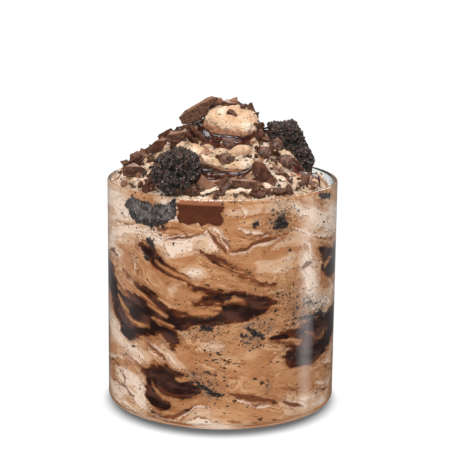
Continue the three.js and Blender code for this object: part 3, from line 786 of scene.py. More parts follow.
def marble_group():
    """Tan in lighter and deeper clouds, drawn out into strands and layers, with vanilla where its field is
    below 0 and caramel seams between the layers. Streak and sweep are noise that was averaged along the
    strokes, so their level lines run the way that the spoon went. At the folds a highlight is painted on
    the lit side of each crest and shade on the other."""
    paint, given, out = new_group(
        "ice cream marble",
        {"Place": VECTOR} | dict.fromkeys(("Vanilla", "Streak", "Sweep", "Crest", "Paleness"), FLOAT),
        {"Colour": COLOUR})
    place, streak, sweep = given["Place"], given["Streak"], given["Sweep"]
    cloud = paint.noise(place, 15, detail=4, rough=0.6, warp=0.7)
    fine = paint.minus(paint.noise(place, 1.1, detail=3, rough=0.6), 0.5)
    base = paint.over(TAN_DEEP, TAN, cloud, 0.38, 0.56)
    spread = paint.scaled(cloud, 5.0, paint.times(sweep, 0.34))
    layer = paint.maths("FRACT", paint.scaled(fine, 0.18, spread))
    shown = paint.band(paint.noise(place, 13, detail=1, phase=5.0), 0.44, 0.6, 0.1, 1.0)
    base = paint.blend(paint.times(paint.band(layer, 0.3, 1.0, 0, 0.9), shown), base, TAN_LIGHT)
    base = paint.blend(paint.times(paint.band(layer, 0.35, 0.0, 0, 0.9), shown), base, TAN_DEEP)
    base = paint.over(base, TAN_LIGHT, streak, 0.5, 2.2, 0.4)
    base = paint.over(base, TAN_DEEP, streak, -0.7, -2.2, 0.35)
    push = paint.scaled(sweep, 1.2, paint.scaled(streak, 0.5, given["Vanilla"]))
    frayed = paint.scaled(fine, 2.0, push)
    base = paint.over(base, PALE_SOFT, frayed, 3.2, 1.2, 0.75)
    base = paint.over(base, PALE, frayed, 0.3, -1.2, 0.9)
    seam = paint.times(paint.band(layer, 0.1, 0.0, 0, 0.8), shown)
    base = paint.blend(seam, base, CARAMEL_AND_CREST_SHADE)
    wander = paint.plus(sweep, fine)
    for level, half, size, most in ((0.1, 0.12, 11, 0.85), (-1.0, 0.14, 8, 0.8)):
        line = paint.maths("ABSOLUTE", paint.minus(wander, level))
        where = paint.band(paint.noise(place, size, detail=1, phase=3.0), 0.52, 0.62, 0.0, most)
        base = paint.blend(paint.times(paint.band(line, half, 0.1 * half), where), base, CARAMEL_AND_CREST_SHADE)
    # painted light at the folds: a pale highlight where the crest field is above 0, caramel shade below 0
    crest = paint.scaled(fine, 0.5, given["Crest"])
    base = paint.over(base, PALE, crest, 0.05, 0.95, 0.9)
    base = paint.over(base, CARAMEL_AND_CREST_SHADE, crest, -0.15, -0.8, 0.85)
    base = paint.blend(given["Paleness"], base, FROTH)
    paint.tree.links.new(base, out["Colour"])


def dust_group():
    """Cookie dust: dark flecks in random cells, larger and closer together where the density is high."""
    paint, given, out = new_group(
        "cookie dust", {"Place": VECTOR, "Density": FLOAT}, {"Fleck": FLOAT, "Haze": FLOAT})
    place, density = given["Place"], given["Density"]
    total = None
    for size, share, reach in ((0.7, 0.7, 0.4), (1.25, 0.6, 0.42), (2.4, 0.4, 0.4)):
        wander = paint.add("ShaderNodeTexNoise", {"Vector": place, "Scale": 1 / (size * 0.5 * MM),
                                                  "Detail": 3.0})
        push = paint.vector("SUBTRACT", {0: wander.outputs["Color"], 1: (0.5, 0.5, 0.5)})[0]
        push = paint.vector("SCALE", {0: push, "Scale": size * 1.5 * MM})[0]
        moved = paint.vector("ADD", {0: place, 1: push})[0]
        cells = paint.add("ShaderNodeTexVoronoi", {"Vector": moved, "Scale": 1 / (size * MM)})
        lot = paint.add("ShaderNodeSeparateColor", {"Color": cells.outputs["Color"]}).outputs
        chosen = paint.maths("LESS_THAN", lot["Red"], paint.times(density, share))
        radius = paint.scaled(lot["Green"], reach * 0.6, reach * 0.5)
        fleck = paint.times(chosen, paint.maths("LESS_THAN", cells.outputs["Distance"], radius))
        total = fleck if total is None else paint.maths("MAXIMUM", total, fleck)
    cloud = paint.noise(place, 2.0, detail=4, rough=0.75)
    haze = paint.times(paint.band(density, 0.25, 0.9), paint.band(cloud, 0.42, 0.62, 0.0, 0.75))
    paint.tree.links.new(total, out["Fleck"])
    paint.tree.links.new(haze, out["Haze"])


marble_group()
dust_group()


# %% Ice cream material
def cream_material(name, wet):
    """The marbled ice cream, with the strokes that its mesh carries. On top it is wet, pitted and bumpy,
    with shade painted in the hollows of its relief and a highlight painted on its ridges; on the wall it is
    pressed flat against the glass, where nothing of its own shines."""
    material, paint = new_material(name, (0.7, 0.5, 0.35, 1))
    place = paint.place((1, 1, 1.7))
    fine = paint.noise(place, 0.8, detail=3, rough=0.65)
    coarse = paint.noise(place, 3.4, detail=4, rough=0.65)
    shift = paint.minus(paint.scaled(coarse, 2.4, paint.times(fine, 1.8)), 2.1)
    streak, sweep = paint.field("streak"), paint.field("sweep")
    fudge = paint.plus(paint.field("fudge"), shift)
    small_shift = paint.times(shift, 0.3)
    amber = paint.plus(paint.field("amber"), small_shift)
    brushed = paint.plus(paint.field("brushed"), small_shift)
    cookie = paint.plus(paint.field("cookie"), paint.times(shift, 1.2))

    tint = paint.group("ice cream marble", Place=place, Vanilla=paint.field("vanilla"), Streak=streak,
                       Sweep=sweep, Crest=paint.field("crest"), Paleness=0.4 if wet else 0.0)["Colour"]
    dust = paint.group("cookie dust", Place=place, Density=paint.field("crumbs"))
    ripple = paint.band(paint.maths("ABSOLUTE", streak), 0.4, 0.05)
    ripple = paint.times(ripple, paint.band(brushed, 4.5, 0.6, 0, 0.6))
    tint = paint.blend(ripple, tint, CARAMEL_AND_CREST_SHADE)
    tint = paint.over(tint, CARAMEL_AND_CREST_SHADE, brushed, 0.8, -0.1, 0.45)
    tint = paint.over(tint, BRUSH_AND_CREASE_SHADE_BROWN, brushed, 0.14, -0.12, 0.9)
    tint = paint.blend(dust["Haze"], tint, COOKIE_GREY)
    stain = paint.scaled(streak, 0.5, fudge)
    tint = paint.over(tint, CARAMEL_AND_CREST_SHADE, stain, 1.6, 0.1, 0.65)

    deep = paint.scaled(sweep, 0.06, paint.noise(place, 8, detail=2, phase=7.0))
    deep = paint.scaled(streak, 0.02, deep)
    sauce = paint.over(FUDGE_DARK, FUDGE_MILKY, deep, 0.5, 0.66, 0.9)
    sauce = paint.over(sauce, FUDGE_BLACK, deep, 0.52, 0.4, 0.95)
    sauce = paint.over(sauce, FUDGE_RED, stain, -1.5, 0.1, 0.8)
    tint = paint.over(tint, sauce, fudge, 0.2, -0.16)
    amber_dark, amber_light = (CARAMEL_AND_CREST_SHADE, AMBER_DEEP) if wet else (AMBER_DEEP, AMBER_GLOW)
    glow = paint.over(amber_dark, amber_light, streak, 0.9, -0.9)
    tint = paint.over(tint, glow, amber, 1.0, -0.4, 0.8)
    scratch = paint.noise(place, 0.9, detail=3, rough=0.7, warp=2.0)
    black = paint.over(COOKIE_BLACK, COOKIE_GREY, scratch, 0.5, 0.62, 0.6)
    tint = paint.over(tint, black, cookie, 0.1, -0.06)
    tint = paint.blend(paint.times(dust["Fleck"], 0.92), tint, COOKIE_BLACK)

    surface = {"Base Color": tint, "IOR": 1.4}
    if wet:
        # painted light from the relief: shade in the hollows, a highlight on the ridges
        crease = paint.plus(paint.field("crease"), paint.scaled(coarse, 1.2, -0.6))
        ridge_lit = paint.over(tint, RIDGE_HIGHLIGHT, crease, -0.3, -1.2, 0.5)
        surface["Base Color"] = paint.over(ridge_lit, BRUSH_AND_CREASE_SHADE_BROWN, crease, 0.3, 1.2, 0.8)
        gleam = paint.band(paint.maths("MINIMUM", fudge, brushed), 0.8, -0.2, 0.42, 0.16)
        grain = paint.noise(place, 0.5, detail=4, rough=0.7)
        relief = paint.plus(grain, paint.times(fine, 2.0))
        surface |= {"Roughness": gleam, "Normal": paint.bump(relief, 0.4, 0.9),
                    "Subsurface Weight": 0.15, "Subsurface Radius": (0.9 * MM, 0.5 * MM, 0.3 * MM),
                    "Subsurface Scale": 1.0}
    else:
        surface |= {"Roughness": paint.band(fine, 0.3, 0.7, 0.5, 0.65), "Specular IOR Level": 0.1}
    return principled(material, paint, surface)


cream_at_wall = cream_material("ice cream at the wall", wet=False)
cream_on_top = cream_material("ice cream on top", wet=True)

# %% [markdown]
# ## The filling
# Ice cream in a glass touches it, with no air between. So the filling's side lies just inside the glass's
# wall, not against it: there the light meets glass and then cream, as it does in the real thing. The side is
# a grid round the wall that carries the strokes, with a floor below and a hidden cap above. The heap is a
# second grid, a disc made by pressing a square round, which spreads its points evenly.

# %% The way the spoon went
FILL_SKIN = INNER_RADIUS + 0.15
ROUND_MM = 2 * np.pi * FILL_SKIN
FLOW_CELL = 2.0
FLOW_REACH = 8.0
DRIFT = 0.25
DRIFT_SIZE = 22.0


def wall_point(along, up):
    """A place on the unrolled wall, in space: x = r sin a, y = -r cos a, with a = along / r."""
    angle = along / FILL_SKIN
    return np.stack([FILL_SKIN * np.sin(angle), -FILL_SKIN * np.cos(angle), up], -1)


def flow_grid():
    """The way of the strokes round each point of a grid on the wall, as the cosine and sine of twice its
    angle, so that a stroke drawn left to right and one drawn back add up instead of cancelling. Every short
    run of a stroke counts by its length and a bell of its distance; a slow drift fills the gaps."""
    columns, rows = round(ROUND_MM / FLOW_CELL), round(GLASS_HEIGHT / FLOW_CELL) + 2
    along, up = np.meshgrid((np.arange(columns) / columns - 0.5) * ROUND_MM, FLOW_CELL * np.arange(rows),
                            indexing="ij")
    drift = 2.4 * gradient_noise(wall_point(along, up) / DRIFT_SIZE, 15)
    total = DRIFT * np.stack([np.cos(drift), np.sin(drift)])
    for stroke in FUDGE + AMBER + BRUSHED + VANILLA + CRESTS:
        line = smooth_line(stroke, 3)[:, :2]
        run = np.diff(line, axis=0)
        middle = line[:-1] + run / 2
        apart = (along[..., None] - middle[:, 0] + ROUND_MM / 2) % ROUND_MM - ROUND_MM / 2
        bell = np.exp(-(apart ** 2 + (up[..., None] - middle[:, 1]) ** 2) / FLOW_REACH ** 2)
        near = np.linalg.norm(run, axis=1) * bell
        turned = 2 * np.arctan2(run[:, 1], run[:, 0])
        total += np.stack([(near * np.cos(turned)).sum(-1), (near * np.sin(turned)).sum(-1)])
    return total / np.linalg.norm(total, axis=0)


def flow_way(grid, along, up):
    """The unit direction of the flow anywhere on the wall: a blend of the grid's four nearest points."""
    columns, rows = grid.shape[1:]
    column, row = (along / ROUND_MM + 0.5) * columns, np.clip(up / FLOW_CELL, 0, rows - 1.001)
    left, low = np.floor(column).astype(int), np.floor(row).astype(int)
    across, rise = column - left, row - low
    left, right = left % columns, (left + 1) % columns
    lower = grid[:, left, low] * (1 - across) + grid[:, right, low] * across
    upper = grid[:, left, low + 1] * (1 - across) + grid[:, right, low + 1] * across
    turned = lower * (1 - rise) + upper * rise
    angle = np.arctan2(turned[1], turned[0]) / 2
    return np.stack([np.cos(angle), np.sin(angle)])


def drawn_out(grid, along, up, size_mm, stride, steps, seed):
    """Noise averaged over a walk both ways along the flow, in equal strides, and scaled to a spread of 1:
    across the flow it changes as fast as before, but along it it is drawn out into strands."""
    total = gradient_noise(wall_point(along, up) / size_mm, seed)
    for start in (-1, 1):
        place = np.stack([along, up])
        way = start * flow_way(grid, along, up)
        for _ in range(steps):
            here = flow_way(grid, *place)
            way = np.where((here * way).sum(0) < 0, -here, here)
            place = place + stride * way
            total = total + gradient_noise(wall_point(*place) / size_mm, seed)
    return total / total.std()


flow = flow_grid()
print("flow grid of", flow.shape[1], "by", flow.shape[2], "points")

# %% Filling at the wall
FLOOR_SKIN = BASE - 0.2
FLOOR_CORNER = 1.2
SIDE_COLUMNS = 550
SIDE_RINGS = 160
CAP_SUNK = 1.5
CAP_LEVEL = 60.0


def crumb_density(around, up, power=1):
    """How thick crumbs lie on the wall: the sum of a bell round each spot, as high as its strength."""
    density = np.zeros(around.shape)
    for spot, height, spread, strength in CRUMB_SPOTS:
        apart = (around - spot + ROUND_MM / 2) % ROUND_MM - ROUND_MM / 2
        density += strength ** power * np.exp(-(apart ** 2 + (up - height) ** 2) / spread ** 2)
    return density


def wall_fields(x, y, z):
    """The drawn strokes as fields on the wall. The wall is unrolled, its points are pushed about by slow
    noise so that no outline is a clean curve, and each field is the distance to its nearest stroke."""
    around = FILL_SKIN * np.arctan2(x, -y)
    point = np.stack([x, y, z], -1)
    along = around + 1.1 * gradient_noise(point / 6, 11) + 0.55 * gradient_noise(point / 2.4, 12)
    up = z + 0.9 * gradient_noise(point / 6, 13) + 0.5 * gradient_noise(point / 2.4, 14)
    streak = drawn_out(flow, along, z, 1.3, 0.7, 8, 16)
    sweep = drawn_out(flow, along, z, 4.0, 1.5, 6, 17)
    torn = np.clip(0.36 * sweep + 0.22 * streak, -1.2, 1.2)
    fudge, amber, brushed, vanilla, cookie = (
        nearest_stroke(along, up, strokes, ROUND_MM) for strokes in (FUDGE, AMBER, BRUSHED, VANILLA, COOKIE))
    lively = 0.3 + 0.7 * smooth_step(np.minimum(np.minimum(fudge, brushed), vanilla + 1), 6, 0.5)
    return {
        "streak": streak * lively, "sweep": sweep * (0.4 + 0.6 * lively),
        "fudge": fudge + torn, "amber": amber + 0.2 * torn, "brushed": brushed + 0.2 * torn,
        "vanilla": vanilla, "cookie": cookie, "crest": highest_crest(along, up, CRESTS, ROUND_MM),
        "crumbs": np.clip(0.05 + crumb_density(around, z), 0, 1),
    }


def filling_side():
    """Rings from the floor's middle out, up the wall to the heap's edge, and back in under the heap."""
    angle = full_turn(SIDE_COLUMNS)
    edge = heap_height(FILL_RADIUS * np.sin(angle), -FILL_RADIUS * np.cos(angle))
    bend_radius, bottom = FILL_SKIN - FLOOR_CORNER, FLOOR_SKIN + FLOOR_CORNER
    floor = [(r, FLOOR_SKIN) for r in (10, 22, 32, bend_radius)]
    bend = arc((bend_radius, bottom), FLOOR_CORNER, -70, 0, 4)
    low = turned_rings(np.concatenate([floor, bend]), SIDE_COLUMNS)
    share = np.linspace(0, 1, SIDE_RINGS)[1:, None]
    wall = turned_rings(np.tile([[FILL_SKIN, 0.0]], (SIDE_RINGS - 1, 1)), SIDE_COLUMNS)
    wall[..., 2] = bottom + share * (edge - bottom)
    inside = turned_rings(np.array([[bend_radius, 0.0], [20.0, 0.0]]), SIDE_COLUMNS)
    inside[..., 2] = np.stack([edge - CAP_SUNK, 0 * edge + CAP_LEVEL])
    rings = np.concatenate([low, wall, inside])
    points = ring_points(rings, (0, 0, FLOOR_SKIN), (0, 0, CAP_LEVEL))
    new_piece("filling_side", points, ring_faces(len(rings), SIDE_COLUMNS), cream_at_wall,
              ["ice_cream"], wall_fields(*points.T))


filling_side()

# %% [markdown]
# ## Sauce on the heap
# Warm fudge was spooned over the top. It ran down in the creases between the folds and lay in a pool in
# front, thick in the middle and thin and amber at its edge. Each run is a path on the heap with a
# half-width, and its section is a lens that lies in the surface. The heap reads the same paths, so that the
# cream beside a run is stained by it.

# %% Sauce paths
SAUCE = paths_of("""
    left_stream: -6.6 -0.6 0.8, -7.6 -4 1.6, -7.4 -8 2.1, -6.2 -11.4 2.1, -5 -14.4 1.7, -4.4 -17 0.8;
    under_scoop: -5.4 -11 1, -2 -13.4 2, 2.4 -14.4 2.3, 6.8 -13 1.8, 10.2 -10 1, 12.4 -6.8 0.5;
    below_scoop: -4.6 -15.6 0.9, -1 -17.6 2.1, 3 -17.6 2, 6.4 -16 0.8;
    front_pool: -10 -24.4 1.6, -8 -27 2.9, -4.4 -28.8 3.2, -0.4 -29.6 2.5, 3.8 -29 1.9, 7.4 -27.6 1.5,
        11 -25.4 0.9;
    left_glaze: -9 -30 1.4, -6 -32.6 2.1, -2.4 -34 1.7, 0.8 -34 0.7;
    right_run: 20.8 -8 0.9, 24 -11 2.2, 26.8 -13.8 2.8, 29.2 -16.4 2.6, 31.4 -17.6 1.7, 34 -17 0.9;
    right_edge: 30.4 -4.6 0.9, 32.6 -9 1.9, 33.8 -13 1.9, 35 -17 1;
    back_run: 8 9 0.7, 12 12 2, 14 17 2.4, 13.4 22 1.9, 10.6 26 0.8;
    back_pool: -20 17 0.8, -17 21 2.4, -12 24.6 2.9, -6 26.6 2.2, -1 27 0.8;
    left_run: -14 3 0.6, -19 2 1.6, -24 1 1.8, -28 -1.4 0.9
""")
SAUCE_PATHS = list(SAUCE.values())
GLOWING = {"left_glaze", "right_run"}
SAUCE_STEPS = 56
SAUCE_SIDES = 28


def sauce_material():
    """Fudge sauce: nearly black and mirror-wet where it is thick, red-brown to amber where it runs thin."""
    material, paint = new_material("fudge sauce", (0.1, 0.04, 0.02, 1))
    place = paint.place()
    thin = paint.plus(paint.field("thin"), paint.scaled(paint.noise(place, 1.6, detail=3), 0.5, -0.25))
    tint = paint.over(colour(38, 15, 10), colour(98, 47, 29), thin, 0.4, 0.95)
    tint = paint.over(tint, colour(168, 98, 58), thin, 0.95, 1.4)
    ripple = paint.noise(paint.place((1, 1, 0.6)), 2.6, detail=2)
    return principled(material, paint, {
        "Base Color": tint, "Roughness": paint.band(ripple, 0.3, 0.7, 0.08, 0.2), "IOR": 1.46,
        "Coat Weight": 0.3, "Coat Roughness": 0.05, "Normal": paint.bump(ripple, 0.2)})


def across_path(middle):
    """The level direction to the right of a path at each of its points: its run, turned by a quarter."""
    ahead = np.gradient(middle[:, :2], axis=0)
    ahead /= np.linalg.norm(ahead, axis=1, keepdims=True)
    return np.stack([ahead[:, 1], -ahead[:, 0]], -1)


def sauce_run(name, stroke, material):
    """A lens-shaped section carried along a path on the heap. Across, the angle runs once round the section:
    sideways = cosine x half-width, and the upper half rises by sine x thickness above the heap, while the
    lower half sinks into it."""
    line = smooth_line(stroke, 10)
    span = np.concatenate([[0], np.cumsum(np.linalg.norm(np.diff(line[:, :2], axis=0), axis=1))])
    at = np.linspace(0, span[-1], SAUCE_STEPS)
    middle = np.stack([np.interp(at, span, line[:, k]) for k in range(3)], -1)
    side = across_path(middle)
    angle = full_turn(SAUCE_SIDES)
    ends = np.sin(np.pi * np.clip(at / span[-1], 0.004, 0.996)) ** 0.35
    waver = 1 + 0.35 * gradient_noise(np.stack([at / 2.2, 0 * at + 3, 0 * at], -1), 21)
    width = (middle[:, 2] * ends * waver)[:, None]
    flat = middle[:, None, :2] + side[:, None] * (width * np.cos(angle))[..., None]
    flat += 0.25 * gradient_noise(np.concatenate([flat / 1.8, 0 * flat[..., :1]], -1), 22)[..., None]
    thick = 0.3 + 0.16 * width
    rise = np.where(np.sin(angle) > 0, np.abs(np.sin(angle)) ** 0.7 * thick, 1.4 * np.sin(angle))
    own = smooth_height(flat[..., 0], flat[..., 1])
    level = 0.5 * own + 0.5 * smooth_height(middle[:, 0], middle[:, 1])[:, None]
    ripple = 0.1 * gradient_noise(np.concatenate([flat / 2.2, 0 * flat[..., :1]], -1), 23)
    rings = np.concatenate([flat, (np.minimum(level, own + 0.5) + rise + ripple)[..., None]], -1)
    points = ring_points(rings, rings[0].mean(0), rings[-1].mean(0))
    thin = 1 - np.abs(np.sin(angle)) * np.minimum(width / 1.4, 1) + 0 * at[:, None]
    thin = thin * 0.9 + (0.45 if name in GLOWING else 0.0)
    fields = {"thin": np.concatenate([[1.0], thin.ravel(), [1.0]])}
    new_piece("sauce_" + name, points, ring_faces(SAUCE_STEPS, SAUCE_SIDES), material,
              fields=fields)


fudge_sauce = sauce_material()
for name, stroke in SAUCE.items():
    sauce_run(name, stroke, fudge_sauce)

# %% [markdown]
# ## The heap, its scoop and its folds
# The heap's own grid is a height above a disc. What hangs over cannot be a height: the round scoop on
# top, with its lip, and the folds that the spoon left. They are closed forms of their own, sunk in the heap
# and of the same ice cream, so the joints read as the creases that real folds have.

# %% Heap piece
HEAP_CUTS = 290
HEAP_BOTTOM = 70.0
HEAP_VANILLA = strokes_of("""
    -33 -22 0.6, -28 -27 1.6, -22 -32 1.8, -15 -36 1; 10 -33 0.6, 16 -32 1.6, 22 -29 1; -4 -20 0.8,
    1 -24 2, 7 -24.6 2, 12 -22 1; 6 -19 0.5, 11 -16 1.6, 16 -12 1; 14 -26 0.8, 20 -23 2.2, 25 -18 1;
    -26 -24 1, -20 -22 2, -15 -20 1; 2 -37 0.6, 10 -38.6 1.2, 20 -35 0.8; -36 -14 1, -34 -6 2, -35 4 1;
    18 22 1, 8 32 2.4, -6 33 1; -22 12 1, -16 30 2, -28 20 1; 30 8 1, 34 2 2; -12 -18 0.5, -9 -20 1.2,
    -5 -21 0.6;
""")
HEAP_BRUSHED = strokes_of("""
    -13 -22 0.2, -10 -24 0.8, -8 -24 0.3; 6 -16 0.2, 9 -13.6 0.6, 12 -11 0.2; 18 -22 0.2, 21 -21 0.8,
    23 -19 0.2; -24 -12 0.2, -20 -15 0.7, -16 -16 0.2; 20 6 0.2, 18 12 0.9, 20 18 0.2; -6 16 0.2,
    -12 15 0.8, -17 10 0.2; 24 14 0.2, 22 24 0.8, 16 30 0.2; -32 6 0.2, -30 14 0.8, -26 24 0.2;
""")


def disc_grid(cuts):
    """A square grid pressed onto a disc: a square ring of half-size s becomes the circle of radius s, and
    the place along a side becomes an even share of a quarter turn."""
    step = np.linspace(-1, 1, cuts + 1)
    u, v = np.meshgrid(step, step, indexing="ij")
    wide = np.abs(u) >= np.abs(v)
    safe = np.where(np.where(wide, u, v) == 0, 1, np.where(wide, u, v))
    angle = np.where(wide, np.pi / 4 * v / safe, np.pi / 2 - np.pi / 4 * u / safe)
    radius = np.where(wide, u, v)
    return radius * np.cos(angle), radius * np.sin(angle)


def heap_fields(x, y):
    """The heap's strokes: stains beside the sauce, smears and pale patches, with clouds of both from noise,
    and cookie dust all over. The crease field is the relief turned round: the material paints shade where it
    is above 0 and a highlight where it is below."""
    flat = np.stack([x, y, 0 * x], -1)
    first = x + 0.8 * gradient_noise(flat / 4, 31)
    second = y + 0.8 * gradient_noise(flat / 4, 32)
    stain = nearest_stroke(first, second, SAUCE_PATHS)
    white_cloud = 1.3 + 6 * gradient_noise(flat / 4.5, 36)
    brown_cloud = 2.0 + 6 * gradient_noise(flat / 4, 37)
    along_rope = np.stack([rope_turns(x, y) * 9, np.arctan2(x, -y) * np.hypot(x, y) / 7, 0 * x], -1)
    return {
        "streak": 3 * gradient_noise(along_rope, 34), "sweep": 3 * gradient_noise(along_rope / 2.6, 35),
        "fudge": stain + 0.5, "amber": np.minimum(stain + 1.6, brown_cloud),
        "brushed": nearest_stroke(first, second, HEAP_BRUSHED),
        "vanilla": np.minimum(nearest_stroke(first, second, HEAP_VANILLA), white_cloud),
        "cookie": FAR_MM + 0 * x, "crest": 0 * x,
        "crumbs": np.clip(0.55 + 0.5 * gradient_noise(flat / 6, 33), 0.1, 1),
        "crease": -1.1 * heap_relief(x, y) * smooth_step(FILL_RADIUS - np.hypot(x, y), 0, 2.5),
    }


def heap_piece():
    """The disc grid lifted to the heap's height, and the same outline again lower down as a flat underside:
    the grid's outer squares are joined to it by one ring of faces."""
    x, y = disc_grid(HEAP_CUTS)
    index, quads = square_grid(HEAP_CUTS)
    border = np.concatenate([index[:-1, 0], index[-1, :-1], index[:0:-1, -1], index[0, :0:-1]])
    x, y = (FILL_SKIN - 0.02) * x.ravel(), (FILL_SKIN - 0.02) * y.ravel()
    inner = np.minimum(1, FILL_RADIUS / np.maximum(np.hypot(x, y), 1))
    under_sauce = smooth_step(nearest_stroke(x, y, SAUCE_PATHS), 0.8, -0.5)
    z = heap_height(x * inner, y * inner)
    z += under_sauce * (smooth_height(x * inner, y * inner) - 0.45 - z)
    under = np.stack([x[border], y[border], z[border] - 1.0], -1)
    deep = np.stack([0.5 * x[border], 0.5 * y[border], 0 * z[border] + HEAP_BOTTOM], -1)
    points = np.concatenate([np.stack([x, y, z], -1), under, deep, [[0, 0, HEAP_BOTTOM]]])
    start, count = index.size, len(border)
    here = np.arange(count)
    after = (here + 1) % count
    skirt = np.stack([border[here], start + here, start + after, border[after]], -1)
    slope = np.stack([start + here, start + count + here, start + count + after, start + after], -1)
    fan = np.stack([start + count + here, np.full(count, start + 2 * count), start + count + after], -1)
    return new_piece("filling_heap", points, [quads, skirt, slope, fan], cream_on_top,
                     ["ice_cream"], heap_fields(*points.T[:2]))


heap = heap_piece()


# %% Scoop and folds
SCOOP_PLACE = np.array([2.2, -3.0, 104.4])
SCOOP_SIZE = np.array([10.6, 9.6, 7.4])
SCOOP_TILT = np.radians(9)
SCOOP_CUTS = 64


def plain_cream_fields(points, seed, dust, pale):
    """Fields for a form that no stroke crosses: clouds of vanilla, streaks and dust, and no amber yet."""
    return {
        "fudge": FAR_MM, "brushed": FAR_MM, "cookie": FAR_MM, "crease": 0.0, "crest": 0.0,
        "streak": 2.6 * gradient_noise(points / 1.6, seed + 2),
        "sweep": 2.6 * gradient_noise(points / 4, seed + 3),
        "vanilla": pale + 6 * gradient_noise(points / 5, seed),
        "crumbs": np.clip(dust + 0.3 * gradient_noise(points / 3, seed + 1), 0.05, 1),
    }


def scoop():
    """A ball flattened to the scoop's three half-sizes and tilted forward. Below its widest line it is
    drawn in, so that a lip stands out over the sauce, and a spiral groove winds down from its top."""
    ball, faces = cube_ball(SCOOP_CUTS)
    radial = np.hypot(ball[:, 0], ball[:, 1])
    turned = np.arctan2(ball[:, 0], -ball[:, 1]) / (2 * np.pi)
    winding = turned + 1.5 * np.arccos(np.clip(ball[:, 2], -1, 1)) / np.pi
    groove = 0.035 * np.cos(2 * np.pi * winding) * smooth_step(radial, 0.2, 0.7)
    tuck = 1 - 0.34 * smooth_step(-ball[:, 2], 0.02, 0.7)
    shape = ball * (1 + groove)[:, None] * np.stack([tuck, tuck, 1 + 0 * tuck], -1)
    points = shape * SCOOP_SIZE
    rise = 1.0 * gradient_noise(points / 5.5, 41) + 0.42 * rough_noise(points, 2.2, 3, 42)
    points += ball * rise[:, None]
    cos, sin = np.cos(SCOOP_TILT), np.sin(SCOOP_TILT)
    points = np.stack([points[:, 0], cos * points[:, 1] + sin * points[:, 2],
                       cos * points[:, 2] + sin * points[:, 1]], -1)
    fields = plain_cream_fields(points, 43, dust=0.15, pale=2.0)
    lip = SCOOP_SIZE[2] * (ball[:, 2] - 0.16 + 0.2 * ball[:, 0]) + 0.6 * gradient_noise(points / 2.4, 44)
    fields["crumbs"] = np.clip(fields["crumbs"] + 0.6 * np.exp(-(lip - 1) ** 2), 0, 1)
    fields["amber"] = np.where(ball[:, 1] < 0.2, lip, FAR_MM)
    return new_piece("cream_scoop", points + SCOOP_PLACE, faces, cream_on_top, (), fields)


top_scoop = scoop()

# %% [markdown]
# A fold is a rope of cream that was pushed over by the spoon. Its path follows the heap, its section is an
# ellipse a little wider than high, and both ends thin out and dive into the heap.

# %% Folds
FOLDS = paths_of("""
    over_pool: -8.4 -20.4 1.0, -5 -23.4 2.6, -0.6 -26 3.1, 4.6 -26.4 3, 9 -24.4 2.6, 13 -21.4 1.6;
    middle: -5.4 -18.4 0.8, -1 -21.4 2.1, 4.4 -21.4 2.6, 9.4 -18.6 2.4, 13.6 -14.6 1.2;
    right: 14 -15 0.9, 19 -13.6 2.4, 24 -10.4 2.7, 27.6 -5.4 1.6;
    low_right: 13.6 -28.4 1.2, 18 -26.6 2.8, 22.6 -23.8 3.1, 26 -20.4 1.6;
    rim_front: -12 -37 0.8, -4 -37.4 1.7, 6 -37.2 1.7, 15 -34.6 1.6, 23 -30.4 0.9;
    left_slope: -13 -12.6 0.8, -17 -16.6 2.2, -20.6 -20 2.4, -25.4 -22 1.4;
    left_high: -10 -7.6 0.8, -14.6 -6 2, -19 -2 2.2, -20.6 3.4 1.1;
    left_rim: -24 -28 0.9, -30 -22.6 2.2, -34.6 -14 2.3, -36.6 -4 1.4;
    back_high: 10 4 0.9, 11 11 2.4, 5 17 2.9, -4 17.6 2.3, -11 13 1;
    back_low: 22 12 0.9, 20 21 2.4, 11 28 3, 0 30.6 2.9, -10 29.6 1.8;
    back_left: -24 8 0.9, -26 15 2.4, -22 23 2.7, -16 28 1.4
""")
FOLD_STEPS = 72
FOLD_SIDES = 36


def fold(name, stroke, seed):
    """An ellipse carried along a path on the heap. Its middle lies 0.35 of its radius under the surface, and
    the radius follows the stroke and shrinks to nothing at both ends as the square root of a sine."""
    line = smooth_line(stroke, 10)
    share = np.linspace(0, 1, FOLD_STEPS)
    at, knots = share * (len(line) - 1), np.arange(len(line))
    middle = np.stack([np.interp(at, knots, line[:, k]) for k in range(3)], -1)
    taper = np.sqrt(np.sin(np.pi * np.clip(share, 0.004, 0.996)))
    radius = (middle[:, 2] * taper)[:, None]
    side = across_path(middle)
    angle = full_turn(FOLD_SIDES)
    base = heap_height(middle[:, 0], middle[:, 1])[:, None]
    flat = middle[:, None, :2] + side[:, None] * (radius * np.cos(angle))[..., None]
    z = base - 0.55 * (1 - taper[:, None]) * 2 - 0.35 * radius + 0.86 * radius * np.sin(angle)
    rings = np.concatenate([flat, z[..., None]], -1)
    outward = rings - np.concatenate([middle[:, :2], z.mean(1)[:, None]], -1)[:, None]
    outward /= np.maximum(np.linalg.norm(outward, axis=-1, keepdims=True), 1e-6)
    along = np.stack([share[:, None] * 3 + 0 * angle, radius * np.cos(angle) * 1.1,
                      radius * np.sin(angle) * 1.1], -1)
    tear = 0.3 * gradient_noise(along + seed, 51) + 0.28 * gradient_noise(rings / 2.6, 52)
    tear += 0.1 * gradient_noise(rings / 0.9, 53)
    rings = rings + outward * (tear * np.minimum(radius / 1.2, 1))[..., None]
    points = ring_points(rings, rings[0].mean(0), rings[-1].mean(0))
    fields = plain_cream_fields(points, seed, dust=0.35, pale=1.2)
    stain = nearest_stroke(points[:, 0], points[:, 1], SAUCE_PATHS)
    low = np.concatenate([[9], (np.sin(angle) + 0 * radius).ravel(), [9]])
    fields["amber"] = np.where(low < 0.15, stain + 0.4, FAR_MM)
    return new_piece("cream_fold_" + name, points, ring_faces(FOLD_STEPS, FOLD_SIDES), cream_on_top,
                     fields=fields)


folds = [fold(name, stroke, 60 + 3 * k) for k, (name, stroke) in enumerate(FOLDS.items())]
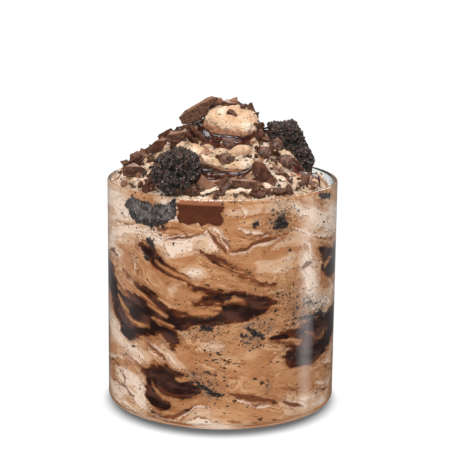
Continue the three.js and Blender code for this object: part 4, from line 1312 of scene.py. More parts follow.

# %% [markdown]
# ## Brownie and cookie
# Baked crumb is grains stuck together. Each brownie starts as flat faces, either those of its imported solid
# or an outline drawn here in the picture's plane, and a ball of rays is cut off at them. Grains of two sizes
# are then raised on it. The finish is black-brown and dry, with shade painted near black in the gaps
# and a few painted moist glints. The same crumb makes the cookie crumbs, on the heap and at the wall.

# %% Faces of a solid
def solid_of(node):
    """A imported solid's middle, its faces' outward directions and distances, its own axes and half-sizes."""
    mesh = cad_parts[node].data
    corners = read_array(mesh.vertices, "co") / MM
    middle = np.unique(corners.round(4), axis=0).mean(0)
    faces = read_array(mesh.loops, "vertex_index", 1, np.int32).reshape(-1, 3)
    first, second, third = (corners[faces[:, k]] for k in range(3))
    across = np.cross(second - first, third - first)
    size = np.linalg.norm(across, axis=1)
    normal = across[size > 1e-6] / size[size > 1e-6, None]
    height = ((first[size > 1e-6] - middle) * normal).sum(1)
    planes = np.unique(np.concatenate([normal, height[:, None]], 1).round(2), axis=0)
    spread = np.unique(corners.round(4), axis=0) - middle
    _, _, axes = np.linalg.svd(spread, full_matrices=False)
    half = np.abs(spread @ axes.T).max(0)
    return middle, planes[:, :3], np.maximum(planes[:, 3], 0.2), axes, half


def outline_of(corners, y, deep, lean=0.2):
    """The same for an outline of (x, z) corners, taken clockwise as seen from the front. Each edge is a side
    that leans a little forward or back in turn; the front and the back close it at this depth."""
    flat = np.array(corners, float)
    middle = flat.mean(0)
    edge = np.roll(flat, -1, axis=0) - flat
    tilt = lean * (-1.0) ** np.arange(len(flat))
    sides = np.stack([-edge[:, 1], tilt * np.linalg.norm(edge, axis=1), edge[:, 0]], -1)
    ends = np.array([[0.12, -1, 0.22], [-0.1, 1, 0.15]])
    normals = np.concatenate([sides, ends])
    normals /= np.linalg.norm(normals, axis=1, keepdims=True)
    reach = ((flat - middle) * normals[:-2][:, [0, 2]]).sum(1)
    half = np.array([np.ptp(flat[:, 0]) / 2, deep, np.ptp(flat[:, 1]) / 2])
    place = np.array([middle[0], y, middle[1]])
    return place, normals, np.maximum(np.concatenate([reach, [deep, deep]]), 0.2), np.eye(3), half


def reach_in(directions, normals, heights, power):
    """Distance from the middle to a solid with these faces: 1 over the largest of (face direction . ray) /
    height. A power in place of the largest rounds the edges, the lower the rounder."""
    shares = np.clip(directions @ normals.T / heights, 0, None)
    return (shares ** power).sum(1) ** (-1 / power)


def spread_rays(ball, axes, half):
    """Rays of the ball spread in proportion to the solid's half-sizes, so that long faces get their share."""
    rays = (ball * half) @ axes
    return rays / np.linalg.norm(rays, axis=1, keepdims=True)


# %% Brownies
BROWNIE_OUTLINES = {
    "brownie_front_left": dict(y=-30.5, deep=6.6, corners=points_of("""
            -17.9 100.1, -15.4 100.9, -12.6 100.2, -8.7 98.4, -7.4 94, -7.6 91.2, -10.7 87.4, -13.5 84.2,
            -17.2 83.7, -20.9 84.7, -23.8 87.5, -25.7 90.9, -24.8 94, -23.4 97""")),
    "brownie_right": dict(y=-1.5, deep=6.6, corners=points_of("""
            17.1 105.6, 22.2 106.3, 27.6 105.9, 29.9 101, 32.8 96, 34.3 91.6, 33.3 89, 25.4 88.6, 19.2 95,
            16.9 100.5""")),
}


def crumb_group():
    """Baked crumb: brown on the grains, with shade painted near black in the gaps between them, a few
    painted grey glints, and a height.
    """
    paint, given, out = new_group("baked crumb", {"Place": VECTOR, "Grain": FLOAT},
                                  {"Colour": COLOUR, "Height": FLOAT, "Roughness": FLOAT})
    place = given["Place"]
    patch = paint.noise(place, 2.2, detail=3)
    grit = paint.noise(place, 0.45, detail=4, rough=0.75)
    grains = paint.add("ShaderNodeTexVoronoi", {"Vector": place, "Scale": 1 / (0.55 * MM)})
    lot = paint.add("ShaderNodeSeparateColor", {"Color": grains.outputs["Color"]}).outputs
    tint = paint.blend(paint.maths("POWER", lot["Red"], 2.0), colour(38, 26, 20), colour(122, 90, 72))
    tint = paint.over(tint, colour(62, 38, 27), patch, 0.42, 0.62, 0.5)
    # painted shade: near black in the gaps between grains and where a grain is missing
    tint = paint.over(tint, colour(7, 5, 4), given["Grain"], 0.35, 0.75, 0.94)
    # painted highlight: a few grains get a grey glint
    painted_glint = paint.times(paint.maths("GREATER_THAN", lot["Green"], 0.9),
                        paint.band(grains.outputs["Distance"], 0.4, 0.2))
    tint = paint.blend(painted_glint, tint, colour(190, 182, 178))
    height = paint.minus(grit, paint.times(grains.outputs["Distance"], 1.2))
    paint.tree.links.new(tint, out["Colour"])
    paint.tree.links.new(height, out["Height"])
    paint.tree.links.new(paint.band(lot["Blue"], 0.0, 1.0, 0.85, 0.4), out["Roughness"])


def crumb_material(name):
    material, paint = new_material(name, (0.05, 0.04, 0.03, 1))
    crumb = paint.group("baked crumb", Place=paint.place(), Grain=paint.field("grain"))
    return principled(material, paint, {
        "Base Color": crumb["Colour"], "Roughness": crumb["Roughness"],
        "Normal": paint.bump(crumb["Height"], 0.5)})


def pressed_cookie_material():
    """Black cookie seen through glass and a film of cream: slate grey, scratched with paler lines."""
    material, paint = new_material("pressed cookie", (0.1, 0.1, 0.1, 1))
    place = paint.place()
    cloud = paint.noise(place, 3, detail=4, rough=0.7, warp=1.0)
    scratch = paint.noise(place, 1.1, detail=3, rough=0.7, warp=2.0)
    tint = paint.over(colour(50, 46, 46), colour(106, 98, 95), cloud, 0.4, 0.6)
    tint = paint.over(tint, colour(176, 162, 154), scratch, 0.55, 0.64, 0.75)
    rim = paint.scaled(cloud, 0.6, paint.minus(paint.field("edge"), 0.3))
    tint = paint.over(tint, colour(30, 27, 28), rim, 0.82, 1.02, 0.85)
    return principled(material, paint, {
        "Base Color": tint, "Roughness": paint.band(cloud, 0.3, 0.7, 0.7, 0.9), "Specular IOR Level": 0.1})


crumb_group()
baked_crumb = crumb_material("baked crumb")
pressed_cookie = pressed_cookie_material()


def brownie(node, seed, cuts):
    """Flat faces, lumped by slow noise, with grains of 1.35 and 0.7 mm standing out of them and the gaps
    between the grains sinking in. Here and there a grain is missing. The grain field is high in the gaps
    and where a grain is missing, and there the crumb material paints shade."""
    drawn = BROWNIE_OUTLINES.get(node)
    middle, normals, heights, _, _ = outline_of(**drawn) if drawn else solid_of(node)
    ball, faces = cube_ball(cuts)
    points = ball * reach_in(ball, normals, heights, 18)[:, None]
    place = points + 0.25 * gradient_noise(points / 0.9, seed)[:, None]
    large = grain_noise(place, 1.35, seed)
    small = grain_noise(place, 0.7, seed + 1)
    missing = smooth_step(gradient_noise(points / 1.9, seed + 4), 0.25, 0.6)
    rise = 1.5 * (0.5 - large) + 0.7 * (0.5 - small) + 0.7 * rough_noise(points, 3.6, 3, seed + 2)
    points = points + ball * (rise - 0.7 * missing)[:, None]
    return new_piece("baked_" + node, points + middle, faces, baked_crumb, [node],
                     {"grain": np.maximum(large, 0.85 * small) + 0.25 * missing})


brownie("brownie_front_left", 71, 110)
brownie("brownie_right", 74, 110)
brownie("brownie_back", 77, 90)

# %% [markdown]
# ## Broken chocolate
# A bar breaks into pieces with two smooth moulded faces and rough, slightly lighter broken sides. The faces
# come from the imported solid, or for the pieces in front from an outline drawn here. Their edges are rounded
# by a hair, the way chocolate chips off, and noise is added only where a side is broken.

# %% Chocolate finish
def chocolate_material():
    """Dark milk chocolate: satin where it was moulded, dull, grainy and lighter where it broke, and smeared
    with a little cream. The light field makes it lighter: on the pieces it is a highlight painted on faces
    that look up, on the scattered bits a tone that differs at random."""
    material, paint = new_material("broken chocolate", (0.2, 0.1, 0.06, 1))
    place = paint.place()
    broken = paint.field("broken")
    cloud = paint.noise(place, 2.4, detail=3)
    grit = paint.noise(place, 0.4, detail=3, rough=0.7)
    face = paint.over(colour(58, 31, 20), colour(92, 53, 35), cloud, 0.4, 0.65)
    side = paint.over(colour(40, 22, 15), colour(116, 76, 53), grit, 0.4, 0.62)
    side = paint.over(side, colour(52, 30, 21), cloud, 0.5, 0.62, 0.6)
    tint = paint.blend(broken, face, side)
    # the light field: a painted highlight on upward faces of the pieces, a random lighter tone on the bits
    tint = paint.blend(paint.times(paint.field("light"), 0.7), tint, colour(156, 110, 84))
    smear = paint.noise(place, 1.6, detail=4, rough=0.7)
    tint = paint.over(tint, FROTH, smear, 0.66, 0.73, 0.7)
    dull = paint.scaled(broken, 0.25, paint.band(cloud, 0.3, 0.7, 0.3, 0.45))
    relief = paint.times(grit, paint.scaled(broken, 0.85, 0.15))
    return principled(material, paint, {
        "Base Color": tint, "Roughness": dull, "Specular IOR Level": 0.22, "Normal": paint.bump(relief, 0.3)})


broken_chocolate = chocolate_material()

# %% Chocolate pieces
CHOCOLATE_CUTS = 34
CHOCOLATE_SHARP = 44
CHOCOLATE_SEED, SEED_STEP = 100, 11
FRONT, TOP = (0, -1, 0.2), (0.3, 0, 1)
CHOCOLATE_OUTLINES = {
    "shard_peak": [
        dict(y=-3.6, deep=2.6, moulded=TOP, corners=points_of("""
            -15.5 107.9, -14.4 109.7, -11.5 111.3, -7.4 113.2, -5.6 111.4, -6.2 108.4, -8.6 106.8,
            -11.5 105.3, -13.9 104.9""")),
        dict(y=-2.2, deep=2.2, moulded=TOP, corners=points_of("""
            -14.5 109.3, -10.2 112.2, -3.3 115.1, -1.9 114.5, -3.8 112.3, -9 109.6"""))],
    "block_left": [
        dict(y=-9.6, deep=2.6, moulded=TOP, corners=points_of("""
            -19.5 103.4, -16.1 103.3, -13.3 103.6, -12.8 101.6, -14.2 100.2, -17.6 98.9, -19.9 99.4"""))],
    "chunk_left_middle": [
        dict(y=-6.4, deep=2.2, moulded=FRONT, corners=points_of("""
            -26 98, -23.6 99.6, -21.1 99.8, -20.6 95.7, -24.6 94.8, -28.6 95.2"""))],
    "chunk_left_low": [
        dict(y=-18.2, deep=2.8, moulded=TOP, corners=points_of("""
            -35.5 91, -33.4 92.5, -31 92.4, -27.7 90.6, -27.1 88.4, -31.1 87.2, -35 88"""))],
    "slab_front": [
        dict(y=-29.8, deep=1.7, moulded=FRONT, corners=points_of("""
            10 94.1, 11.6 96.3, 14 95.9, 18 90.2, 17.4 87.6, 16 86, 14.3 87.4, 10.6 92"""))],
    "bar_front": [
        dict(y=-35.4, deep=1.9, moulded=TOP, corners=points_of("""
            2 90.7, 6.9 90.7, 11.4 90.1, 14 88.6, 13.6 87.2, 8 86.9, 3 88"""))],
}


def chocolate_form(moulded_way, middle, normals, heights, axes, half, seed):
    """A ball of rays cut off at the faces. A point is the more broken the less its face looks the moulded
    way, and it is moved along its ray by noise as far as it is broken. Faces that look up get a light field,
    on which the material paints a highlight."""
    ball, faces = cube_ball(CHOCOLATE_CUTS)
    rays = spread_rays(ball, axes, half)
    points = rays * reach_in(rays, normals, heights, CHOCOLATE_SHARP)[:, None]
    pull = np.clip(rays @ normals.T / heights, 0, None) ** 26
    moulded = axes[2] if moulded_way is None else np.array(moulded_way) / np.linalg.norm(moulded_way)
    broken = 1 - (pull * np.abs(normals @ moulded)).sum(1) / pull.sum(1)
    broken = smooth_step(broken, 0.12, 0.45)
    rough = 0.26 * rough_noise(points, 1.7, 3, seed) + 0.12 * (0.5 - grain_noise(points, 1.0, seed + 5))
    points = points + rays * (broken * rough + 0.06 * gradient_noise(points / 2, seed + 9))[:, None]
    if np.linalg.det(axes) < 0:
        faces = [part[:, ::-1] for part in faces]
    # faces that look up get a painted highlight through the light field
    upward = (pull * normals[:, 2]).sum(1) / pull.sum(1)
    return points + middle, faces, {"broken": broken, "light": 0.7 * smooth_step(upward, 0.66, 0.95)}


def joined(forms):
    """Several forms, each given as points, faces and fields, as one."""
    starts = np.cumsum([0] + [len(points) for points, _, _ in forms])
    faces = [part + start for start, (_, parts, _) in zip(starts, forms) for part in parts]
    fields = {key: np.concatenate([own[key] for _, _, own in forms]) for key in forms[0][2]}
    return np.concatenate([points for points, _, _ in forms]), faces, fields


def nodes_named(*kinds):
    """The frame's nodes whose name starts with one of these words, in the order of the alphabet."""
    return sorted(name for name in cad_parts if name.split("_")[0] in kinds)


def chocolate_piece(node, seed):
    """One form for each drawn outline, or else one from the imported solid, joined in one mesh."""
    forms = [chocolate_form(drawn["moulded"], *outline_of(drawn["corners"], drawn["y"], drawn["deep"]), seed)
             for drawn in CHOCOLATE_OUTLINES.get(node, [])] or [chocolate_form(None, *solid_of(node), seed)]
    points, faces, fields = joined(forms)
    new_piece("broken_" + node, points, faces, broken_chocolate, [node], fields)


CHOCOLATE_NODES = nodes_named("shard", "plate", "block", "slab", "bar", "chunk")
CHOCOLATE_NODES.remove("bar_at_wall")
for k, name in enumerate(CHOCOLATE_NODES):
    chocolate_piece(name, CHOCOLATE_SEED + SEED_STEP * k)

# %% [markdown]
# The splinters on the left are curls shaved off a bar: each is a bundle of thin grooved strands that lie
# side by side and bend a little together.

# %% Splinters
SPLINTER_SEED, SPLINTER_SEED_STEP = 300, 17
STRANDS = 4
STRAND_STEPS = 40
STRAND_SIDES = 12


def splinter(node, seed):
    """Strands side by side along the solid's length. Each has a rounded rectangle as section, tapers at
    both ends, and sags with the square of the distance from the middle."""
    middle, _, _, axes, half = solid_of(node)
    random = np.random.default_rng(seed)
    share = np.linspace(-1, 1, STRAND_STEPS)[:, None]
    angle = full_turn(STRAND_SIDES)
    faces = ring_faces(STRAND_STEPS, STRAND_SIDES)
    if np.linalg.det(axes) > 0:
        faces = [part[:, ::-1] for part in faces]
    strands = []
    for k in range(STRANDS):
        wide, high = half[1] / STRANDS * 1.3, half[2] * (0.9 + 0.4 * random.random())
        length = half[0] * (0.8 + 0.2 * random.random())
        taper = np.clip(1 - np.abs(share) ** 5, 0.02, 1) ** 0.5
        across = (2 * k + 1) / STRANDS - 1 + 0.1 * random.normal()
        box = 1 / np.maximum(np.abs(np.cos(angle)), np.abs(np.sin(angle))) ** 0.5
        u = length * (share + 0.12 * random.normal()) + 0 * angle
        v = half[1] * across * 1.25 + taper * wide * np.cos(angle) * box + 0.15 * share * random.normal()
        w = taper * high * np.sin(angle) * box + 0.25 * half[2] * (1 - share ** 2) * random.normal()
        rings = u[..., None] * axes[0] + v[..., None] * axes[1] + w[..., None] * axes[2]
        rings = rings + 0.1 * gradient_noise(rings / 0.9, seed + k)[..., None]
        strands.append((ring_points(rings, rings[0].mean(0), rings[-1].mean(0)) + middle, faces, {}))
    points, faces, _ = joined(strands)
    new_piece("curls_" + node, points, faces, broken_chocolate, [node],
              {"broken": smooth_step(gradient_noise(points / 1.2, seed + 7), -0.2, 0.5)})


for k, name in enumerate(nodes_named("splinter")):
    splinter(name, SPLINTER_SEED + SPLINTER_SEED_STEP * k)

# %% [markdown]
# ## Chocolate chips
# A chip is a flat-bottomed drop with a soft tip. These have been through the blender's cold: they are
# knocked about, dull, and smeared with cream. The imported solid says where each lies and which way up.

# %% Chips
def chip_material():
    """Dull chocolate, with cream smeared over the parts that noise picks."""
    material, paint = new_material("chocolate chip", (0.25, 0.13, 0.08, 1))
    place = paint.place()
    cloud = paint.noise(place, 1.5, detail=4, rough=0.65)
    tint = paint.over(colour(54, 31, 21), colour(108, 69, 49), cloud, 0.4, 0.62)
    smear = paint.plus(paint.noise(place, 2.2, detail=4, rough=0.7), paint.field("smeared"))
    coat = paint.band(smear, 0.62, 0.7)
    tint = paint.blend(coat, tint, TAN_LIGHT)
    relief = paint.plus(cloud, paint.times(coat, 0.6))
    return principled(material, paint, {
        "Base Color": tint, "Roughness": paint.band(cloud, 0.3, 0.7, 0.38, 0.62), "IOR": 1.5,
        "Normal": paint.bump(relief, 0.3)})


chip_finish = chip_material()
CHIP_CUTS = 24
CHIP_ROUND = 10
CHIP_SEED, CHIP_SEED_STEP = 400, 13
CHIP_GROWN = 1.2
CHIP_LIFTED = np.array([0.0, -0.7, 0.9])


def chip(node, seed, smeared):
    """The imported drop's outline with its edges rounded, knocked by noise and grain."""
    middle, normals, heights, _, _ = solid_of(node)
    ball, faces = cube_ball(CHIP_CUTS)
    points = ball * reach_in(ball, normals, heights, CHIP_ROUND)[:, None] * CHIP_GROWN + CHIP_LIFTED
    rough = 0.4 * rough_noise(points, 2.4, 3, seed) + 0.3 * (0.55 - grain_noise(points, 1.5, seed + 3))
    points = points + ball * rough[:, None]
    return new_piece("soft_" + node, points + middle, faces, chip_finish, [node],
                     {"smeared": smeared})


SMEARED = {"chip_right_rim": 0.12, "chip_right_middle": 0.06}
for k, name in enumerate(nodes_named("chip")):
    chip(name, CHIP_SEED + CHIP_SEED_STEP * k, SMEARED.get(name, 0.0))

# %% [markdown]
# ## Pieces against the wall
# Under the rim a milk-chocolate bar and a black cookie lie flat against the inside of the glass. They take
# the wall's curve on their outer face and have ragged outlines, so each is a block bent round the axis
# whose outline is pushed about by noise.

# %% Wall pieces
WALL_PIECE_CUTS = 70
COOKIE_OUTLINE = points_of("""
    -16.6 78, -15 80.4, -14.6 83, -16.6 82.8, -20.5 81.4, -22.4 82.6, -25.2 81, -28.2 81.6, -31 81,
    -34 82, -36.4 80.8, -39 78.8, -36.6 77, -34.8 75.4, -32.8 73.2, -30.6 74.2, -28.4 75.4, -25.6 74.2,
    -23.6 74.8, -21.4 75.4, -19 76.4
""")


def bent_block(name, node, material, ragged, grown, seed, drawn=None):
    """A block in (angle, height) round the axis. Its outer face lies flat on a circle just outside the
    filling's skin; its outline is a rectangle, or drawn corners round their middle, moved in and out by
    noise: x = r sin a, y = -r cos a."""
    corners = read_array(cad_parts[node].data.vertices, "co") / MM
    angle = np.arctan2(corners[:, 0], -corners[:, 1])
    far, near = FILL_SKIN + 0.06, np.hypot(corners[:, 0], corners[:, 1]).min()
    ball, faces = cube_ball(WALL_PIECE_CUTS)
    box = ball / (np.abs(ball) ** 8).sum(1, keepdims=True) ** (1 / 8)
    left, right, low, high = grown
    wide = np.array([angle.min() * FILL_SKIN - left, angle.max() * FILL_SKIN + right])
    tall = np.array([corners[:, 2].min() - low, corners[:, 2].max() + high])
    along = wide.mean() + box[:, 0] * np.ptp(wide) / 2
    up = tall.mean() + box[:, 2] * np.ptp(tall) / 2
    around = np.arctan2(box[:, 2], box[:, 0])
    outer = np.maximum(np.abs(box[:, 0]), np.abs(box[:, 2]))
    if drawn:
        centre = np.mean(drawn, axis=0)
        turned = np.arctan2(*(np.array(drawn) - centre).T[::-1])
        out = np.linalg.norm(np.array(drawn) - centre, axis=1)[turned.argsort()]
        radius = np.interp(around, np.sort(turned), out, period=2 * np.pi)
        along, up = centre[:, None] + outer * radius * np.stack([np.cos(around), np.sin(around)])
    rim = np.stack([np.cos(around) * np.ptp(wide) / 2, np.sin(around) * np.ptp(tall) / 2, 0 * around], -1)
    push = rough_noise(rim, 2.2, 4, seed) - 0.3
    edge = outer ** 3
    along += ragged * push * edge * np.cos(around)
    up += ragged * push * edge * np.sin(around)
    r = np.minimum((far + near) / 2 - 0.8 * box[:, 1] * (far - near), far)
    points = np.stack([r * np.sin(along / FILL_SKIN), -r * np.cos(along / FILL_SKIN), up], -1)
    points[:, :2] *= np.maximum(1, near / np.hypot(points[:, 0], points[:, 1]))[:, None]
    light = smooth_step(up, tall[1] - 1.9, tall[1] - 1.2)
    return new_piece(name, points, faces, material, [node], {"edge": outer, "light": light})


def milk_chocolate_material():
    """Milk chocolate pressed on glass: even and smooth, with a lighter strip along its top edge."""
    material, paint = new_material("milk chocolate", (0.3, 0.14, 0.08, 1))
    place = paint.place((1, 1, 2))
    cloud = paint.noise(place, 4, detail=3)
    tint = paint.over(colour(80, 36, 16), colour(88, 42, 20), cloud, 0.4, 0.62)
    tint = paint.blend(paint.times(paint.field("light"), 0.8), tint, colour(166, 106, 74))
    return principled(material, paint, {
        "Base Color": tint, "Roughness": paint.band(cloud, 0.3, 0.7, 0.4, 0.5), "Specular IOR Level": 0.2})


bent_block("milk_bar_at_wall", "bar_at_wall", milk_chocolate_material(), 1.0,
           (0.3, 1.2, 1.0, 0.7), 501)
bent_block("black_cookie_at_wall", "cookie_at_wall", pressed_cookie, 2.2, (0, 0, 0, 0), 511,
           COOKIE_OUTLINE)

# %% [markdown]
# ## Scattered bits
# Hundreds of bits lie over the heap: chocolate splinters, flakes and black cookie crumbs. Each kind is one
# mesh, put together from copies of a small ball of a few dozen faces, which whole arrays squash, turn and
# roughen. They are dropped on points of the finished surfaces and lie nearly half sunk, so none floats.

# %% Scattering
LOWEST_BIT = 72
EDGE_KEPT_CLEAR = 1.6
BIT_CUTS = 2
CRUMB_GRAIN = 0.3


def surface_points(pieces):
    """All points of some pieces, in mm, with their outward directions."""
    places, ways = (np.concatenate([read_array(piece.data.vertices, what) for piece in pieces])
                    for what in ("co", "normal"))
    return places / MM, ways


def random_turns(count, random):
    """Random rotations from unit quaternions (w, x, y, z)."""
    w, x, y, z = (lambda q: q / np.linalg.norm(q, axis=0))(random.normal(size=(4, count)))
    return np.stack([
        np.stack([1 - 2 * (y * y + z * z), 2 * (x * y - z * w), 2 * (x * z + y * w)], -1),
        np.stack([2 * (x * y + z * w), 1 - 2 * (x * x + z * z), 2 * (y * z - x * w)], -1),
        np.stack([2 * (x * z - y * w), 2 * (y * z + x * w), 1 - 2 * (x * x + y * y)], -1)], 1)


def scattered(name, places, ways, sizes, proportion, material, seed, sharp, sink, fields):
    """One mesh of many bits. A bit is a small cube-ball pressed towards a box, scaled by its size and a
    proportion of its own, roughened at every point and turned at random. Its middle stands out of its place
    by `sink` of its size."""
    random = np.random.default_rng(seed)
    ball, faces = cube_ball(BIT_CUTS)
    form = ball / (np.abs(ball) ** sharp).sum(1, keepdims=True) ** (1 / sharp)
    count, corners = len(places), len(form)
    scale = sizes[:, None] / 2 * proportion * np.exp(0.28 * random.normal(size=(count, 3)))
    bits = form * scale[:, None] * (1 + 0.22 * random.normal(size=(count, corners, 1)))
    bits = np.einsum("nij,nkj->nki", random_turns(count, random), bits)
    bits = bits + (places + ways * (sizes * sink)[:, None])[:, None]
    quads = faces[0] + corners * np.arange(count)[:, None, None]
    made = {key: np.repeat(np.broadcast_to(value, count), corners) for key, value in fields.items()}
    piece = new_piece(name, bits.reshape(-1, 3), [quads.reshape(-1, 4)], material, (), made)
    piece.data.polygons.foreach_set("use_smooth", np.zeros(len(piece.data.polygons), bool))


def chosen_points(places, ways, weights, count, seed):
    """A random choice of the points, in proportion to their weights."""
    random = np.random.default_rng(seed)
    pick = random.choice(len(places), count, replace=False, p=weights / weights.sum())
    return places[pick], ways[pick]


heap_places, heap_ways = surface_points([heap, top_scoop, *folds])
x, y, z = heap_places.T
outer = (heap_ways[:, 2] > 0.1) & (z > heap_height(x, y) - 0.3)
outer &= (np.hypot(x, y) < FILL_RADIUS - EDGE_KEPT_CLEAR) & (z > LOWEST_BIT)
heap_places, heap_ways = heap_places[outer], heap_ways[outer]
print(f"{len(heap_places)} places to drop bits on")

# %% Bits on the heap
BIT_SPOTS = points_of("""
    -20 -34 4 3.5, -26 -29 4 3, -32 -23 4 3, -15 -36 3 3, 9 1 5 1.6, 13 3 4 2, 15 -3 3.5 2, 12 -8 3 1.6,
    17 -8 3 2, 5 3 4 2.5, 20 -6 4 3, 4.7 -20 2 3, 8 -21 2.4 3, 6 -24 2 2.5, 14 -19 3 3, 24 -13 3 3,
    18 -15 3 2, -2 -38 4 5, 6 -38 4 5, 14 -37 4 5, 22 -33 4 4, -10 -38 3 5, -10 -33 4 5, -6 -35 3 5,
    -1 -36 4 2.5, -38 -10 3 4, -36 -18 4 4, -30 -24 4 4, -34 -2 4 3, -27 -28 3 3, -16 -12 4 2,
    -24 -8 4 2.5, -5 -16.4 2 2, 27 -26 2.6 3, 33 -22 3 2.5, 12 -33 3 1.5, 0 14 7 2, 16 18 6 2.5,
    -20 14 7 2.5, -5 30 8 2.5, 28 2 5 2, -8 8 5 2, 10 34 6 2, -30 10 6 2.5
""")
EVEN_SHARE = 0.35
SCOOP_SHARE = 0.1
BIT_KINDS = {
    "chocolate_bits": dict(count=360, size=(0.8, 3.6), proportion=(1.2, 0.9, 0.7), sharp=5.0, sink=0.12),
    "chocolate_flakes": dict(count=110, size=(1.4, 3.4), proportion=(1.3, 0.85, 0.26), sharp=6.0, sink=0.14),
    "cookie_crumbs": dict(count=900, size=(0.35, 1.7), proportion=(1.0, 0.9, 0.8), sharp=3.0, sink=0.1),
}


def bit_weights(places):
    """How likely a bit is at each place: an even share, plus a bell round each spot, and few on the scoop's
    smooth front."""
    weights = np.full(len(places), EVEN_SHARE)
    for x, y, spread, strength in BIT_SPOTS:
        weights += strength * np.exp(-((places[:, 0] - x) ** 2 + (places[:, 1] - y) ** 2) / spread ** 2)
    clean = np.hypot(places[:, 0] - SCOOP_PLACE[0], places[:, 1] - SCOOP_PLACE[1]) < SCOOP_SIZE[0]
    clean &= (places[:, 1] < SCOOP_PLACE[1] + 3) & (places[:, 2] > SCOOP_PLACE[2] - 6)
    return np.where(clean, SCOOP_SHARE * weights, weights)


weights = bit_weights(heap_places)
for k, (name, kind) in enumerate(BIT_KINDS.items()):
    places, ways = chosen_points(heap_places, heap_ways, weights, kind["count"], 600 + k)
    small, large = kind["size"]
    sizes = small + (large - small) * np.random.default_rng(610 + k).random(kind["count"]) ** 2.2
    crumbly = name == "cookie_crumbs"
    scattered(name, places, ways, sizes, kind["proportion"], baked_crumb if crumbly else broken_chocolate,
              620 + k, kind["sharp"], kind["sink"],
              {"grain": CRUMB_GRAIN} if crumbly else
              {"broken": np.random.default_rng(630 + k).random(kind["count"]),
               "light": np.random.default_rng(640 + k).random(kind["count"]) ** 5})

# %% Crumbs against the wall
WALL_CRUMBS = 900
CRUMB_TRIES = 60000
STRAY_SHARE = 0.012


def wall_crumbs():
    """Cookie crumbs that lie against the glass: random places on the unrolled wall, kept as often as the
    crumb spots say, with each crumb's middle 0.35 of its size inside the filling's skin."""
    random = np.random.default_rng(700)
    around = (random.random(CRUMB_TRIES) - 0.5) * ROUND_MM
    up = 3 + (WALL_LEVEL - 5) * random.random(CRUMB_TRIES)
    likely = np.clip(crumb_density(around, up, 2), 0, 1) + STRAY_SHARE
    chosen = np.flatnonzero(random.random(CRUMB_TRIES) < likely)[:WALL_CRUMBS]
    angle = around[chosen] / FILL_SKIN
    ways = np.stack([np.sin(angle), -np.cos(angle), 0 * angle], -1)
    sizes = 0.35 + 1.1 * random.random(len(chosen)) ** 3
    places = ways * (FILL_SKIN - 0.35 * sizes)[:, None] + np.stack([0 * angle, 0 * angle, up[chosen]], -1)
    scattered("wall_crumbs", places, ways, sizes, (1, 1, 1), baked_crumb, 701, 3.0, 0.0,
              {"grain": CRUMB_GRAIN})


wall_crumbs()

# %% [markdown]
# ## Studio
# The dessert stands on a white sweep in even, soft light: large softboxes in front, above and behind, a fill
# at the right, and a small lamp under the glass, like a light table. Two soft pale wedges on the floor, which
# only the glass mirrors, draw its upright highlights. The floor looks pure white in the picture except where
# the glass shades it, so to the camera it is painted brighter than the light that it throws back.

# %% Floor
FLOOR_SIZE = 6.0
FLOOR_GAP = 0.05
FLOOR_BRIGHT = 1.04
FLOOR_BEHIND_GLASS = 0.86
SHADE_PLACE = -0.0056
SHADE_START, SHADE_END = 0.0380, 0.0466
SHADE_DARK = 0.2
CREASE_REACH = 0.004
MIRRORED_DARK = 0.07
CARDS = {
    "right": dict(side=1, tilt=(-0.3, 0.06, 0.4), bright=2.3),
    "left": dict(side=-1, tilt=(-0.3, 0.3, 1.0), bright=0.35),
}
CARD_FROM = (0.031, -0.030)


def floor_material():
    """White paper. To the camera it is bright but for a soft round shade under the foot's front and a crease
    of shade where the foot meets it. What the glass mirrors of it is dark in front, paler behind, and bright
    in two wedges beside the glass, like white cards laid there, with soft edges."""
    material, paint = new_material("white sweep", (1, 1, 1, 1))
    path = paint.add("ShaderNodeLightPath").outputs
    place = paint.place()
    grain = paint.noise(place, 30, detail=2)
    paper = paint.blend(grain, colour(196, 196, 196), colour(204, 204, 204))
    lit = paint.maths("GREATER_THAN", path["Diffuse Depth"], 0.5)
    shone = paint.maths("GREATER_THAN", path["Glossy Depth"], 0.5)
    through = paint.maths("GREATER_THAN", path["Transmission Depth"], 0.5)
    axes = paint.add("ShaderNodeSeparateXYZ", {"Vector": place}).outputs
    mirrored = paint.band(axes["Y"], 0.0, 0.25, MIRRORED_DARK, 0.3)
    for card in CARDS.values():
        out = paint.scaled(axes["X"], card["side"], -CARD_FROM[0])
        slant = paint.maths("DIVIDE", paint.minus(axes["Y"], CARD_FROM[1]), out)
        start, middle, end = card["tilt"]
        wedge = paint.times(paint.band(slant, start, middle), paint.band(slant, end, middle))
        wedge = paint.times(wedge, paint.band(out, 0.0, 0.02, 0, card["bright"]))
        mirrored = paint.plus(mirrored, wedge)
    from_middle = paint.vector("DISTANCE", {0: place, 1: (0, SHADE_PLACE, 0)})["Value"]
    bright = paint.band(from_middle, SHADE_START, SHADE_END, SHADE_DARK, FLOOR_BRIGHT)
    crease = paint.add("ShaderNodeAmbientOcclusion", {"Distance": CREASE_REACH}, samples=12).outputs["AO"]
    bright = paint.times(bright, paint.band(crease, 0.3, 0.75, 0.72, 1.0))
    bright = paint.plus(paint.times(bright, paint.minus(1.0, through)),
                        paint.times(through, FLOOR_BEHIND_GLASS))
    glow = paint.add("ShaderNodeMix", {0: shone, 2: bright, 3: mirrored}).outputs[0]
    sheet = paint.add("ShaderNodeBsdfDiffuse", {"Color": paper}).outputs[0]
    seen = paint.add("ShaderNodeEmission", {"Color": (1, 1, 1, 1), "Strength": glow}).outputs[0]
    mixed = paint.add("ShaderNodeMixShader", {0: lit, 1: seen, 2: sheet})
    finish_surface(paint, mixed.outputs[0])
    return material


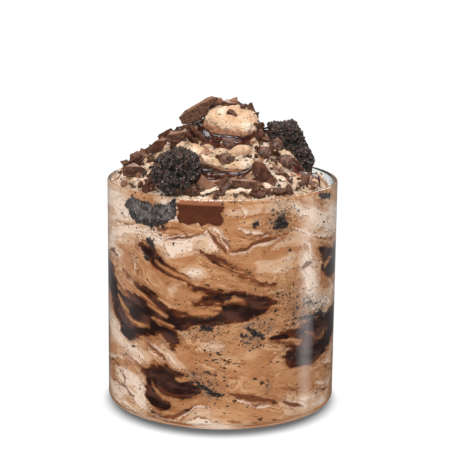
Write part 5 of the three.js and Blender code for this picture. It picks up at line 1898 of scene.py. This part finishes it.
def floor():
    """A flat square sheet, lying a hair under the foot."""
    half = FLOOR_SIZE / 2 / MM
    corners = [(x, y, -FLOOR_GAP) for x, y in ((-half, -half), (half, -half), (half, half), (-half, half))]
    sheet = bpy.data.objects.new("floor", mesh_from_arrays("floor", corners, [np.array([[0, 1, 2, 3]])]))
    sheet.data.materials.append(floor_material())
    bpy.context.scene.collection.objects.link(sheet)
    sheet.visible_shadow = False


floor()


# %% Light
def softbox(name, place, target, size, watts, mirrored=True):
    """A rectangular lamp at a place, turned to its target, unseen by the camera."""
    data = bpy.data.lights.new(name, "AREA")
    data.shape = "RECTANGLE"
    data.size, data.size_y = size
    data.energy = watts
    lamp = bpy.data.objects.new(name, data)
    lamp.location = place
    lamp.rotation_euler = (Vector(target) - Vector(place)).to_track_quat("-Z", "Y").to_euler()
    lamp.visible_camera = False
    lamp.visible_glossy = mirrored
    lamp.visible_transmission = False
    bpy.context.scene.collection.objects.link(lamp)


MIDDLE = (0, 0, 0.06)
softbox("key", (-0.4, -0.9, 0.9), MIDDLE, (0.8, 0.6), 13)
softbox("top", (0.05, -0.1, 1.15), MIDDLE, (0.9, 0.7), 7.5)
softbox("fill", (0.8, -0.8, 0.45), MIDDLE, (0.6, 0.6), 3.5)
softbox("back", (0.3, 1.0, 0.8), MIDDLE, (0.8, 0.6), 6)
softbox("light_table", (0, 0, -0.06), MIDDLE, (0.12, 0.12), 0.15, mirrored=False)

CAMERA_WHITE = (1.1, 1.1, 1.1, 1)
ROOM_GREY = (0.52, 0.52, 0.53, 1)
MIRRORED_FRONT = (0.1, 0.1, 0.105, 1)
MIRRORED_BACK = (0.22, 0.22, 0.22, 1)
MIRRORED_OVERHEAD = (3.0, 3.0, 3.0, 1)


def studio_world():
    """White behind the object, also through clear glass, and a grey room for the light that falls on things.
    What shines mirrors a room that is dark in front, grey low down behind, and bright overhead."""
    world = bpy.data.worlds.new("studio")
    world.use_nodes = True
    world.node_tree.nodes.clear()
    bpy.context.scene.world = world
    paint = Painter(world.node_tree)
    path = paint.add("ShaderNodeLightPath").outputs
    shone = paint.maths("GREATER_THAN", path["Glossy Depth"], 0.5)
    lit = paint.maths("GREATER_THAN", path["Diffuse Depth"], 0.5)
    way = paint.add("ShaderNodeTexCoord").outputs["Generated"]
    axes = paint.add("ShaderNodeSeparateXYZ", {"Vector": way}).outputs
    low = paint.times(paint.band(axes["Y"], 0.35, 0.95), paint.band(axes["Z"], 0.6, 0.2))
    pale = paint.maths("MAXIMUM", low, paint.band(axes["Z"], 0.3, 0.9, 0.0, 0.12))
    mirrored = paint.blend(pale, MIRRORED_FRONT, MIRRORED_BACK)
    mirrored = paint.over(mirrored, MIRRORED_OVERHEAD, axes["Z"], 0.88, 0.98)
    shade = paint.blend(lit, paint.blend(shone, CAMERA_WHITE, mirrored), ROOM_GREY)
    light = paint.add("ShaderNodeBackground", {"Color": shade, "Strength": 1.0})
    paint.add("ShaderNodeOutputWorld", {"Surface": light.outputs[0]})


studio_world()
bpy.context.scene.view_settings.view_transform = "Standard"
print("studio ready")
